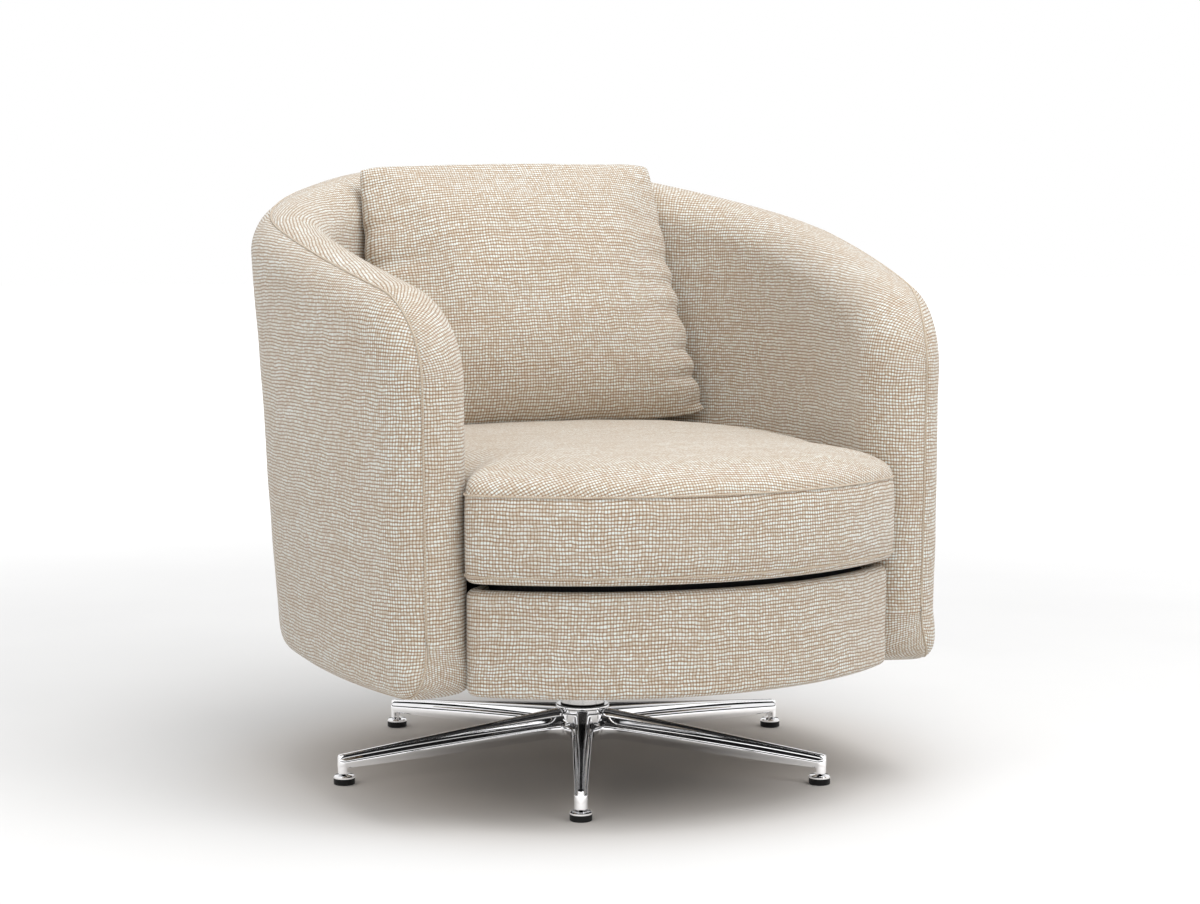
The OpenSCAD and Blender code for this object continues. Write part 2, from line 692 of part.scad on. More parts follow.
module strap_field(low) {
    intersection() {
        carcass_sheet(low, low + strap_thickness, strap_margin, carcass_front_r - strap_margin,
            carcass_step_x - strap_margin);
        children();
    }
}
module cross_straps() {
    color(black) strap_field(ring_top) for (k = [0:strap_count - 1])
        translate([-chair_depth / 2, mix(strap_front, strap_back, (k + 0.5) / strap_count)
            - strap_width / 2, ring_top - overrun])
            cube([chair_depth, strap_width, strap_thickness + 2 * overrun]);
}
module long_straps() {
    low = ring_top + strap_thickness;
    color(black) strap_field(low) for (k = [0:strap_count - 1])
        translate([mix(-strap_half_span, strap_half_span, (k + 0.5) / strap_count)
            - strap_width / 2, -chair_depth / 2, low - overrun])
            cube([strap_width, chair_depth, strap_thickness + 2 * overrun]);
}
module deck_pad() {
    color(black) carcass_sheet(deck_low, deck_top, deck_inset,
        skirt_radius - skirt_thickness - deck_front_inset, carcass_step_x - deck_inset);
}
module dust_cover() {
    high = board_low - cover_gap;
    hole = plate_side + 2 * overrun;
    color(black) difference() {
        carcass_sheet(high - dust_cover_thickness, high, dust_cover_inset,
            front_board_r - dust_cover_inset, carcass_step_x - dust_cover_inset);
        translate([-hole / 2, -hole / 2, high - dust_cover_thickness - overrun])
            cube([hole, hole, dust_cover_thickness + 2 * overrun]);
    }
}
// Stations along the skirt's outer line, from the middle of the front to the end of a return: the
// point, and the direction it faces as an angle from straight ahead
skirt_stations = concat(
    [for (i = [0:8]) let (a = skirt_corner_a * i / 8)
        [skirt_centre + skirt_radius * [sin(a), -cos(a)], a]],
    [for (i = [1:5]) let (a = mix(skirt_corner_a, skirt_return_turn, i / 5))
        [skirt_corner + skirt_corner_r * [sin(a), -cos(a)], a]],
    [let (a = skirt_return_turn) [skirt_corner + skirt_corner_r * [sin(a), -cos(a)]
        + skirt_return * [cos(a), sin(a)], a]]);
skirt_profile = rounded_box([0, skirt_bottom], [skirt_thickness, skirt_top],
    [skirt_back_r, skirt_edge_r, skirt_edge_r, skirt_back_r], 4);
module skirt() {
    last = len(skirt_stations) - 1;
    color(fabric) loft([for (i = [-last:last])
        let (station = skirt_stations[abs(i)], a = station[1], side = i < 0 ? -1 : 1)
        [for (q = skirt_profile)
            let (p = station[0] + (q.x - skirt_thickness) * [sin(a), -cos(a)])
            [side * p.x, p.y, q.y]]]);
}

// Glides: a rubber pad under a flanged cap whose threaded stem runs up into the leg
cap_rim = 2;
cap_rise = 2.2;
cap_neck_r = 5.5;
cap_edge = 1.2;
stem_rise = 23;
pad_edge = 0.8;
module glide(k) {
    r = glide_d / 2;
    color(chrome) at_leg(k) translate([base_radius, 0, pad_height]) rotate_extrude($fn = 64)
        polygon([[0, 0], [r, 0], [r, cap_rim], [r - cap_edge, cap_rim + cap_edge],
            [cap_neck_r, cap_rim + cap_rise], [stem_d / 2, lip_rise - rest_gap],
            [stem_d / 2, stem_rise], [0, stem_rise]]);
}
module glide_pad(k) {
    r = glide_d / 2;
    color(black) at_leg(k) translate([base_radius, 0, 0]) rotate_extrude($fn = 64)
        polygon([[0, 0], [r - pad_edge, 0], [r, pad_edge], [r, pad_height], [0, pad_height]]);
}

// Seat cushion: outline at height z, following the wall and the roundness of each nose, then rows of
// the outline drawn in or bulged out up to the crown
cushion_corner_r = 24;
cushion_centre_y = 51;
cushion_seam_top = seat_height - cushion_crown;
cushion_centre = [0, -cushion_centre_y];
cushion_front_centre = [0, cushion_front_radius + welt_height - chair_depth / 2];
cushion_corner_a = asin((nose_x - cushion_corner_inset - cushion_corner_r)
    / (cushion_front_radius - cushion_corner_r));
cushion_corner = cushion_front_centre
    + (cushion_front_radius - cushion_corner_r) * [sin(cushion_corner_a), -cos(cushion_corner_a)];
function cushion_half(z) =
    let (nose = wall_point(nose_u, z, 0, 1), away = cushion_corner - [nose.x, nose.y],
        turn = atan2(away.x, -away.y))
    concat([for (i = [0:14])
        let (p = wall_point(nose_u * i / 14, z, -half_wall - cushion_gap, 1)) [p.x, p.y]],
    [for (i = [1:2]) let (a = mix(-nose_turn, turn, i / 3))
        [nose.x, nose.y] + (half_wall + cushion_gap) * [sin(a), -cos(a)]],
    front_arc(cushion_corner, cushion_corner_r, 180 + turn, cushion_corner_a, 4),
    [for (i = [1:7]) let (a = cushion_corner_a * (1 - i / 7))
        cushion_front_centre + cushion_front_radius * [sin(a), -cos(a)]]);
function both_sides(half) = concat(half, [for (i = [len(half) - 2:-1:1]) [-half[i].x, half[i].y]]);
function unit_vector(v) = v / norm(v);
function cushion_row(z, inset, share) =
    let (loop = both_sides(cushion_half(z)), size = len(loop))
    [for (i = [0:size - 1])
        let (along = unit_vector(loop[(i + 1) % size] - loop[(i + size - 1) % size]),
            p = loop[i] + inset * [along.y, -along.x],
            q = cushion_centre + share * (p - cushion_centre)) [q.x, q.y, z]];
function crown_at(share) = cushion_seam_top + cushion_crown * (1 - pow(share, crown_power));
crown_power = 5;
crown_shares = [0.985, 0.95, 0.88, 0.76, 0.58, 0.36];
underside_share = 0.5;
cushion_edge_r = 9;
cushion_draw = 3;
module seat_cushion() {
    low = cushion_bottom;
    seam_low = cushion_bottom + cushion_edge_r;
    seam_high = cushion_seam_top;
    rows = concat(
        [[low, cushion_edge_r, underside_share], [low, cushion_edge_r, 1]],
        [for (a = [30, 60]) [low + cushion_edge_r * (1 - cos(a)), cushion_edge_r * (1 - sin(a)), 1]],
        [[seam_low - welt_half_width, 0, 1], [seam_low, -welt_height, 1],
            [seam_low + welt_half_width, 0, 1],
            [(seam_low + seam_high) / 2, cushion_draw / 2, 1],
            [seam_high - welt_half_width, 0, 1], [seam_high, -welt_height, 1]],
        [for (share = crown_shares) [crown_at(share), 0, share]]);
    color(fabric) loft([for (row = rows) cushion_row(row[0], row[1], row[2])]);
}

// Back pillow: rings of a square, each nearer its front or back, puffed out to half the thickness. It
// settles between the cushion's crown and the rounded rim of the shell.
pillow_side_points = 8;
pillow_puff_power = 0.42;
pillow_sag_share = 0.12;
pillow_settle = 4.8;
pillow_lodge = 4.9;
pillow_shares = [0.1, 0.3, 0.5, 0.68, 0.82, 0.92, 0.975];
function edge_place(i) = -cos(180 * i / pillow_side_points);
pillow_square = concat(
    [for (i = [0:pillow_side_points - 1]) [edge_place(i), -1]],
    [for (i = [0:pillow_side_points - 1]) [1, edge_place(i)]],
    [for (i = [0:pillow_side_points - 1]) [-edge_place(i), 1]],
    [for (i = [0:pillow_side_points - 1]) [-1, -edge_place(i)]]);
function pillow_puff(q) = pow(max(0, (1 - q.x * q.x) * (1 - q.y * q.y)), pillow_puff_power)
    * (1 - pillow_sag_share * q.y);
// A point of the pillow about its own centre: x across, y back, z up, before it is set down
function pillow_point(q, face) =
    let (across = q.x * (pillow_width / 2 - pillow_draw * (1 - q.y * q.y)),
        up = q.y * (pillow_height / 2 + pillow_swell * (1 - q.x * q.x)),
        out = face * pillow_puff(q) * pillow_thickness / 2)
    [across, up * sin(pillow_lean) - out * cos(pillow_lean),
        up * cos(pillow_lean) + out * sin(pillow_lean)];
pillow_rings = concat(
    [for (share = pillow_shares) [for (q = pillow_square) pillow_point(share * q, 1)]],
    [[for (q = pillow_square) pillow_point(q, 1)]],
    [for (k = [len(pillow_shares) - 1:-1:0])
        [for (q = pillow_square) pillow_point(pillow_shares[k] * q, -1)]]);
// Inner face of the wall behind a point, by the distance across and the height
function wall_behind(x, z) =
    let (grow = back_lean * (z - lean_datum) - half_wall,
        turn_x = back_centre.x + (back_radius + grow) * sin(back_turn))
    abs(x) < turn_x
        ? back_centre.y + sqrt(pow(back_radius + grow, 2) - x * x)
        : corner_centre.y + sqrt(pow(corner_radius + grow, 2) - pow(abs(x) - corner_centre.x, 2));
pillow_low = min([for (r = pillow_rings, p = r) p.z]);
pillow_z = seat_height + rest_gap - pillow_settle - pillow_low;
pillow_y = min([for (r = pillow_rings, p = r) wall_behind(p.x, p.z + pillow_z) - p.y]) + pillow_lodge;
module back_pillow() {
    color(fabric) translate([0, pillow_y, pillow_z]) loft(pillow_rings);
}

star_base();
spindle();
spindle_washer();
spindle_nut();
lower_race();
ball_cage();
bearing_balls();
dust_seal();
clip_washer();
retaining_clip();
upper_race();
swivel_tube();
lower_bush();
upper_bush();
column_sleeve();
top_plate();
plate_bolts();
tee_nuts();
lower_board();
seat_ring();
carcass_blocks();
front_board();
shell_frame();
shell_bolts();
cross_straps();
long_straps();
deck_pad();
dust_cover();
skirt();
shell_cover();
glide(0);  // glide_1
glide(1);  // glide_2
glide(2);  // glide_3
glide(3);  // glide_4
glide(4);  // glide_5
glide_pad(0);  // glide_pad_1
glide_pad(1);  // glide_pad_2
glide_pad(2);  // glide_pad_3
glide_pad(3);  // glide_pad_4
glide_pad(4);  // glide_pad_5
seat_cushion();
back_pillow();
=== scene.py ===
"""Dresses the swivel barrel chair: woven covers, welts, cushions, chrome star base and studio."""
import json
import logging
import math
from dataclasses import dataclass
from enum import Enum

import bmesh
import bpy
import numpy as np
from mathutils import Matrix, Vector


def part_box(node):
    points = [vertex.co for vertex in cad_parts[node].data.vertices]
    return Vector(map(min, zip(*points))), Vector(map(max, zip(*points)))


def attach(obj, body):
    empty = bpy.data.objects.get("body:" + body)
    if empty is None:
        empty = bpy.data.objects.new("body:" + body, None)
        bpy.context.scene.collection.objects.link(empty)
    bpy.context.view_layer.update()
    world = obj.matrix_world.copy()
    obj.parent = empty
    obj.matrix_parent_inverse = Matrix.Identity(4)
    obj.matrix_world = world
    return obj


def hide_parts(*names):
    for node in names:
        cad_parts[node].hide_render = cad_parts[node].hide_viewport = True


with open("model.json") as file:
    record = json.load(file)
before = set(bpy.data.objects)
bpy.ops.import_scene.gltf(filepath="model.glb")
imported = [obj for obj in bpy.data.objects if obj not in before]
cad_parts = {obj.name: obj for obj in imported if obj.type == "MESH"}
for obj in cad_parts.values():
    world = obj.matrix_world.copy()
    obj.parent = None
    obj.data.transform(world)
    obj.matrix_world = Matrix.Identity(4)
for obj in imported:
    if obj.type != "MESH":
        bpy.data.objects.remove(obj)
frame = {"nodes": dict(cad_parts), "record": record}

LOG = logging.getLogger("barrel_chair")
AXIS = 1e-5  # radius of the ends of a turned profile, near enough to 0 to close

Array = np.ndarray
Piece = bpy.types.Object
Material = bpy.types.Material
Tree = bpy.types.NodeTree
Socket = bpy.types.NodeSocket
Pair = tuple[float, float]
Triple = tuple[float, float, float]
Colour = tuple[float, float, float, float]


class Body(Enum):
    """The bodies of the frame that pieces ride on."""

    BASE = "base"
    SEAT = "seat"
    CUSHION = "cushion"
    PILLOW = "pillow"


class Slot(Enum):
    """The record's material slots that new pieces take their finish from."""

    CHROME = "chrome"
    SATIN = "satin_metal"
    STEEL = "steel"
    BRASS = "cage_brass"
    NYLON = "nylon"
    RUBBER = "rubber"
    PLYWOOD = "plywood"
    WEBBING = "webbing"
    DECK = "deck_cloth"
    UPHOLSTERY = "upholstery"


# Mesh building


@dataclass
class Patch:
    """A grid of points with its cloth coordinates, both in metres.

    points has the shape (rows, columns, 3), and cloth has (rows, columns, 2).
    """

    points: Array
    cloth: Array


def placed(name: str, data: bpy.types.ID) -> Piece:
    """A new object with this data, linked into the scene."""
    piece = bpy.data.objects.new(name, data)
    bpy.context.scene.collection.objects.link(piece)
    return piece


def grid(*parts: Array) -> Array:
    """Coordinates, spread over one grid and set side by side in the last axis."""
    return np.stack(np.broadcast_arrays(*parts), axis=-1)


def lifted(flat: Array, z: Array | float) -> Array:
    """Places in plan with a height as their third coordinate."""
    return np.concatenate([flat, np.broadcast_to(z, flat.shape[:-1])[..., None]], axis=-1)


def grid_quads(rows: int, columns: int) -> Array:
    """Corner numbers of the quads of a grid.

    Args:
        rows: Number of rows of points.
        columns: Number of points in a row.

    Returns:
        An array of shape (quads, 4).
    """
    start = (np.arange(rows - 1)[:, None] * columns + np.arange(columns - 1)[None, :]).ravel()
    return np.stack([start, start + 1, start + columns + 1, start + columns], axis=1)


def close_columns(values: Array) -> Array:
    """The grid with its first column repeated after its last, so that the surface closes."""
    return np.concatenate([values, values[:, :1]], axis=1)


def running_length(points: Array) -> Array:
    """Length along a line of points, from its first point.

    Args:
        points: Points along the last but one axis.

    Returns:
        The length at each point.
    """
    steps = np.linalg.norm(np.diff(points, axis=-2), axis=-1)
    start = np.zeros(steps.shape[:-1] + (1,))
    return np.concatenate([start, np.cumsum(steps, axis=-1)], axis=-1)


def sew(name: str, patches: list[Patch], cover: Material | None = None, merge: float = 2e-5,
        caps: bool = False) -> Piece:
    """Makes one smooth mesh of patches, joined where their edges meet.

    Args:
        name: Name of the new object.
        patches: The grids, with their cloth coordinates.
        cover: Its material.
        merge: Points nearer than this become one.
        caps: Whether open loops are filled.

    Returns:
        The new object, with outward normals and a UV map named cloth.
    """
    counts = [p.points.shape[0] * p.points.shape[1] for p in patches]
    starts = np.concatenate([[0], np.cumsum(counts)[:-1]])
    quads = [grid_quads(*p.points.shape[:2]) for p in patches]
    corners = np.concatenate([q + s for q, s in zip(quads, starts)])
    points = np.concatenate([p.points.reshape(-1, 3) for p in patches])
    cloth = np.concatenate([p.cloth.reshape(-1, 2) for p in patches])
    mesh = bpy.data.meshes.new(name)
    mesh.vertices.add(len(points))
    mesh.vertices.foreach_set("co", points.astype(np.float32).ravel())
    mesh.loops.add(corners.size)
    mesh.loops.foreach_set("vertex_index", corners.astype(np.int32).ravel())
    mesh.polygons.add(len(corners))
    mesh.polygons.foreach_set("loop_start", np.arange(0, corners.size, 4, dtype=np.int32))
    mesh.update(calc_edges=True)
    mesh.uv_layers.new(name="cloth").data.foreach_set("uv", cloth[corners].astype(np.float32).ravel())
    form = bmesh.new()
    form.from_mesh(mesh)
    bmesh.ops.remove_doubles(form, verts=form.verts, dist=merge)
    if caps:
        bmesh.ops.holes_fill(form, edges=form.edges, sides=0)
    bmesh.ops.recalc_face_normals(form, faces=form.faces)
    if form.calc_volume(signed=True) < 0:
        bmesh.ops.reverse_faces(form, faces=form.faces)
    for face in form.faces:
        face.smooth = True
    form.to_mesh(mesh)
    form.free()
    mesh.validate()
    if cover:
        mesh.materials.append(cover)
    return placed(name, mesh)


def tube(path: Array, radius: float, sides: int) -> Patch:
    """A round tube along a loop: each point carries a circle square to the loop.

    Args:
        path: Points of the loop, shape (count, 3), the first one given once.
        radius: Radius of the tube.
        sides: Number of points round it.

    Returns:
        The tube's surface, with cloth coordinates along and round it.
    """
    line = np.concatenate([path, path[:1]])
    along = np.roll(path, -1, axis=0) - np.roll(path, 1, axis=0)
    along = np.concatenate([along, along[:1]])
    along /= np.linalg.norm(along, axis=1, keepdims=True)
    up = np.array([0.0, 0.0, 1.0]) - along * along[:, 2:3]
    side = np.cross(along, np.array([0.31, 0.17, 0.93]))
    weight = np.linalg.norm(up, axis=1, keepdims=True)
    first = np.where(weight > 1e-3, np.cross(along, up / np.maximum(weight, 1e-9)), side)
    first /= np.linalg.norm(first, axis=1, keepdims=True)
    second = np.cross(along, first)
    angle = np.linspace(0, 2 * math.pi, sides + 1)
    ring = np.cos(angle)[None, :, None] * first[:, None] + np.sin(angle)[None, :, None] * second[:, None]
    points = line[:, None] + radius * ring
    length = running_length(line)
    return Patch(points, grid(length[:, None], (angle * radius)[None, :]))


def turned(profile: list[Pair], steps: int) -> Patch:
    """A profile of (radius, height) turned about the Z axis.

    Args:
        profile: Points from the axis below to the axis above.
        steps: Number of steps round the axis.

    Returns:
        The turned surface.
    """
    line = np.array(profile)
    angle = np.linspace(0, 2 * math.pi, steps + 1)
    points = grid(line[:, None, 0] * np.cos(angle), line[:, None, 0] * np.sin(angle), line[:, None, 1])
    length = running_length(line)
    return Patch(points, grid(angle[None, :] * line[:, :1].max(), length[:, None]))


def moved(patch: Patch, place: Matrix) -> Patch:
    """A patch with its points turned and moved by a matrix."""
    turn = np.array(place.to_3x3())
    return Patch(patch.points @ turn.T + np.array(place.translation), patch.cloth)


def smooth_step(t: Array) -> Array:
    """Rises from 0 to 1 over t from 0 to 1, level at both ends (3t^2 - 2t^3)."""
    c = np.clip(t, 0.0, 1.0)
    return c * c * (3.0 - 2.0 * c)


def swell(points: Array, scale: float, seed: int) -> Array:
    """Soft unevenness of stuffed cloth: a sum of five sine waves in random directions.

    Each wave is 1.45 times as short and 1.3 times as low as the one before.

    Args:
        points: Places, with 2 or 3 coordinates in the last axis.
        scale: Wavelength of the longest wave.
        seed: Seed of the waves' directions and phases.

    Returns:
        A value from about -1 to 1 at each place.
    """
    draw = np.random.default_rng(seed)
    total = np.zeros(points.shape[:-1])
    for octave in range(5):
        way = draw.normal(size=points.shape[-1])
        way /= np.linalg.norm(way)
        phase = draw.uniform(0, 2 * math.pi)
        total += np.sin(points @ way * 2 * math.pi / scale * 1.45 ** octave + phase) / 1.3 ** octave
    return total / 2.6


# The chair's forms


@dataclass
class BarrelWall:
    """The padded barrel wall. u runs along its middle line, z up, and n outward of its middle."""

    depth: float = 0.854
    bottom: float = 0.154
    rim_height: float = 0.776
    datum: float = 0.430
    thickness: float = 0.103
    back_radius: float = 0.404
    back_arc: float = 0.155
    corner_radius: float = 0.311
    corner_arc: float = 0.362
    side_radius: float = 1.203
    nose_setback: float = 0.167
    rim_fall: float = 0.159
    fall_start: float = 0.2
    fall_blend: float = 0.06
    nose_radius: float = 0.066
    toe_radius: float = 0.012
    back_lean: float = 0.06
    nose_lean: float = 0.012
    lean_start: float = 0.5
    seam_offset: float = 0.024

    def __post_init__(self) -> None:
        """Works out the centres and turns of the three arcs of the middle line."""
        self.half = self.thickness / 2
        self.mid_top = self.rim_height - self.half
        self.mid_bottom = self.bottom + self.half
        back_y = self.depth / 2 - self.half - self.back_lean * (self.mid_top - self.datum)
        self.back_turn = self.back_arc / self.back_radius
        self.corner_turn = self.back_turn + self.corner_arc / self.corner_radius
        self.back_centre = np.array([0.0, back_y - self.back_radius])
        self.corner_centre = self.back_centre + (self.back_radius - self.corner_radius) \
            * self.heading(self.back_turn)
        self.side_centre = self.corner_centre + (self.corner_radius - self.side_radius) \
            * self.heading(self.corner_turn)
        reach = (self.nose_setback - self.depth / 2 - self.side_centre[1]) / self.side_radius
        self.nose_turn = math.acos(reach)
        self.end = self.back_arc + self.corner_arc + (self.nose_turn - self.corner_turn) * self.side_radius
        self.seam_angle = math.asin(self.seam_offset / self.half)

    @staticmethod
    def heading(turn: Array) -> Array:
        """Outward direction at a turn from straight back."""
        return np.stack([np.sin(turn), np.cos(turn)], axis=-1)

    def turn(self, u: Array) -> Array:
        """Turn of the middle line at u, never past the nose."""
        return np.where(u < self.back_arc, u / self.back_radius, np.where(
            u < self.back_arc + self.corner_arc,
            self.back_turn + (u - self.back_arc) / self.corner_radius,
            self.corner_turn + (np.minimum(u, self.end) - self.back_arc - self.corner_arc)
            / self.side_radius))

    def middle(self, u: Array) -> Array:
        """Point of the middle line at u: three tangent arcs, then straight on past the nose."""
        way = self.heading(self.turn(u))
        u = u[..., None]
        ahead = np.array([math.cos(self.nose_turn), -math.sin(self.nose_turn)])
        beyond = np.maximum(0.0, u - self.end) * ahead
        return np.where(u < self.back_arc, self.back_centre + self.back_radius * way, np.where(
            u < self.back_arc + self.corner_arc, self.corner_centre + self.corner_radius * way,
            self.side_centre + self.side_radius * way + beyond))

    def point(self, u: Array, z: Array, n: Array) -> Array:
        """Point at signed u, height z and n outward of the leaning middle surface."""
        u, z, n = np.broadcast_arrays(u, z, n)
        along = np.abs(u)
        fade = smooth_step((along / self.end - self.lean_start) / (1 - self.lean_start))
        lean = self.back_lean + (self.nose_lean - self.back_lean) * fade
        out = (n + lean * (z - self.datum))[..., None]
        flat = self.middle(along) + out * self.heading(self.turn(along))
        side = np.where(u < 0, -1.0, 1.0)
        return np.stack([side * flat[..., 0], flat[..., 1], z], axis=-1)

    def ramp(self, t: Array) -> Array:
        """A bend from level to falling: half of d + sqrt(d^2 + b^2), d past the start of the fall."""
        d = t - self.fall_start
        return (d + np.sqrt(d * d + self.fall_blend ** 2)) / 2

    def rim(self, u: Array) -> Array:
        """Height of the middle surface's upper edge at u."""
        scale = self.rim_fall / (self.ramp(1.0) - self.ramp(0.0))
        return self.mid_top - scale * (self.ramp(u / self.end) - self.ramp(0.0))

    def rim_slope(self, u: Array) -> Array:
        """How fast the rim falls at u."""
        step = 1e-4
        return (self.rim(u) - self.rim(u + step)) / step

    def cloth_run(self, u: Array, n: float) -> Array:
        """Length of cloth along the face at n, from the middle of the back to u."""
        u = np.abs(u)
        return np.minimum(u, self.back_arc) * (1 + n / self.back_radius) \
            + np.clip(u - self.back_arc, 0, self.corner_arc) * (1 + n / self.corner_radius) \
            + np.maximum(u - self.back_arc - self.corner_arc, 0) * (1 + n / self.side_radius)

    def chains(self, run: int, bend: int) -> tuple[Array, Array]:
        """Upper and lower edge of half the unrolled wall, each ending at the nose's straight front.

        Args:
            run: Number of steps along the rim and along the hem.
            bend: Number of steps round the nose's and the toe's corner.

        Returns:
            Two arrays of (u, z, outward normal in u, in z), of the same length.
        """
        tilt = math.atan(self.rim_slope(self.end - self.nose_radius))
        centre = (self.end - self.nose_radius,
                  self.rim(self.end - self.nose_radius) - self.nose_radius / math.cos(tilt))
        rim_u = np.linspace(0, centre[0] + self.nose_radius * math.sin(tilt), run + 1)
        slope = np.arctan(self.rim_slope(rim_u))
        rim = np.stack([rim_u, self.rim(rim_u), np.sin(slope), np.cos(slope)], axis=1)
        a = np.linspace(math.pi / 2 - tilt, 0, bend + 1)[1:]
        nose = np.stack([centre[0] + self.nose_radius * np.cos(a),
                         centre[1] + self.nose_radius * np.sin(a), np.cos(a), np.sin(a)], axis=1)
        hem_u = np.linspace(0, self.end - self.toe_radius, run + 1)
        flat = np.zeros(run + 1)
        hem = np.stack([hem_u, flat + self.mid_bottom, flat, flat - 1], axis=1)
        a = np.linspace(-math.pi / 2, 0, bend + 1)[1:]
        toe = np.stack([self.end - self.toe_radius + self.toe_radius * np.cos(a),
                        self.mid_bottom + self.toe_radius + self.toe_radius * np.sin(a),
                        np.cos(a), np.sin(a)], axis=1)
        return np.concatenate([rim, nose]), np.concatenate([hem, toe])


def mirrored(chain: Array) -> Array:
    """A half chain of outline entries with its mirror image before it, from -u to +u."""
    left = chain[:0:-1] * np.array([-1, 1, -1, 1])
    return np.concatenate([left, chain])


@dataclass
class ShellCover:
    """The wall's woven cover: inner panel over the edge to the welt, outer panel, and the welt."""

    wall: BarrelWall
    run: int = 96
    bend: int = 14
    rungs: int = 36
    edge_rows: int = 26
    groove_depth: float = 0.001
    groove_width: float = 0.0032
    groove_reach: float = 2.4
    welt_radius: float = 0.0015
    welt_sink: float = 0.0006
    welt_sides: int = 10
    hem_square: float = 2.4
    toe_power: float = 0.35
    uneven: float = 0.0009
    uneven_scale: float = 0.24
    outer_shift: float = 0.0021

    def face(self, side: int) -> Patch:
        """The flat inner (-1) or outer (1) face: straight rungs from the rim to the hem."""
        wall = self.wall
        top, low = (mirrored(chain) for chain in wall.chains(self.run, self.bend))
        t = np.linspace(0, 1, self.rungs + 1)[:, None]
        u = top[None, :, 0] * (1 - t) + low[None, :, 0] * t
        z = top[None, :, 1] * (1 - t) + low[None, :, 1] * t
        n = side * wall.half
        points = wall.point(u, z, n + side * self.relief(u, z, side))
        return Patch(points, self.cloth(u, z, side))

    def relief(self, u: Array, z: Array, side: int) -> Array:
        """Slight waves of the padding."""
        places = np.stack([u, z, np.full_like(u, 0.37 * side)], axis=-1)
        return self.uneven * swell(places, self.uneven_scale, 11 + side)

    def cloth(self, u: Array, z: Array, side: int) -> Array:
        """Cloth coordinates of a face: length of cloth along it, and height."""
        across = np.sign(u) * self.wall.cloth_run(u, side * self.wall.half)
        return np.stack([across + (self.outer_shift if side > 0 else 0.0), z], axis=-1)

    def outline(self) -> Array:
        """The closed outline of the unrolled wall: rim, right nose, hem, left nose."""
        top, low = self.wall.chains(self.run, self.bend)
        t = np.linspace(0, 1, self.rungs + 1)[1:-1, None]
        front = top[-1] * (1 - t) + low[-1] * t
        half = np.concatenate([top, front, low[::-1]])
        return np.concatenate([half, half[-2:0:-1] * np.array([-1, 1, -1, 1])])

    def section(self, entry: Array, angle: Array, r: Array) -> tuple[Array, Array]:
        """How far the edge stands out of its outline and off the middle surface at an angle.

        The edge is round where the outline faces up or forward, r cos(angle) by r sin(angle). The more
        it faces down, the smaller the power 2 / (2 + square * down) that both are raised to.
        """
        power = 2 / (2 + self.hem_square * np.maximum(0, -entry[..., 3]))
        across = np.sign(angle) * np.abs(np.sin(angle)) ** power
        return r * np.maximum(0, np.cos(angle)) ** power, r * across

    def outward(self, entry: Array) -> Array:
        """Way out of the outline: its normal, with both parts raised to a power at the toe's corner."""
        power = np.where(entry[..., 3:4] < 0, self.toe_power, 1.0)
        return np.sign(entry[..., 2:4]) * np.abs(entry[..., 2:4]) ** power

    def edge(self, angles: Array, side: int) -> Patch:
        """The edge between two angles, from the inner face (-90) to the outer (90).

        A point is the outline entry moved along its normal and off the middle surface, as section says.
        r dips in a narrow groove beside the welt. Cloth is measured round the edge from the face.
        """
        wall = self.wall
        entry = self.outline()[None, :, :]
        angle = angles[:, None]
        away = (angle - wall.seam_angle) * wall.half / self.groove_width
        u, z = entry[..., 0], entry[..., 1]
        fade = np.abs(np.sin(angle)) ** 3
        rise = self.relief(u, z, -1) * np.where(angle < 0, fade, 0) + self.relief(u, z, 1) \
            * np.where(angle > 0, fade, 0)
        out, off = self.section(entry, angle, wall.half - self.groove_depth * np.exp(-away * away) + rise)
        way = self.outward(entry)
        points = wall.point(u + way[..., 0] * out, z + way[..., 1] * out, off)
        steps = np.hypot(np.diff(out, axis=0), np.diff(off, axis=0))
        wrap = np.concatenate([np.zeros((1, steps.shape[1])), np.cumsum(steps, axis=0)])
        wrap = wrap if side < 0 else wrap[-1:] - wrap
        cloth = self.cloth(u, z, side) + way * wrap[..., None]
        return Patch(close_columns(points), close_columns(cloth))

    def build(self, weave: Material, welt_weave: Material) -> list[Piece]:
        """Makes the cover, its rows closer together beside the welt and at the faces, and the welt."""
        seam, quarter = self.wall.seam_angle, math.pi / 2
        near = self.groove_width * self.groove_reach / self.wall.half
        flat = quarter * (1 - np.geomspace(0.0008, 0.09, 6))
        lower = np.concatenate([[-quarter], -flat, np.linspace(-flat[-1], seam - near, self.edge_rows)[1:],
                                np.linspace(seam - near, seam, 7)[1:]])
        upper = np.concatenate([np.linspace(seam, seam + near, 7),
                                np.linspace(seam + near, flat[-1], self.edge_rows // 2)[1:-1],
                                flat[::-1], [quarter]])
        cover = sew("shell_cover_cloth", [self.face(-1), self.face(1), self.edge(lower, -1),
                                          self.edge(upper, 1)], weave)
        entry = self.outline()
        out, off = self.section(entry, np.full(len(entry), seam), self.wall.half - self.welt_sink)
        way = self.outward(entry)
        path = self.wall.point(entry[:, 0] + way[:, 0] * out, entry[:, 1] + way[:, 1] * out, off)
        return [cover, sew("shell_welt", [tube(path, self.welt_radius, self.welt_sides)], welt_weave)]


# Soft goods


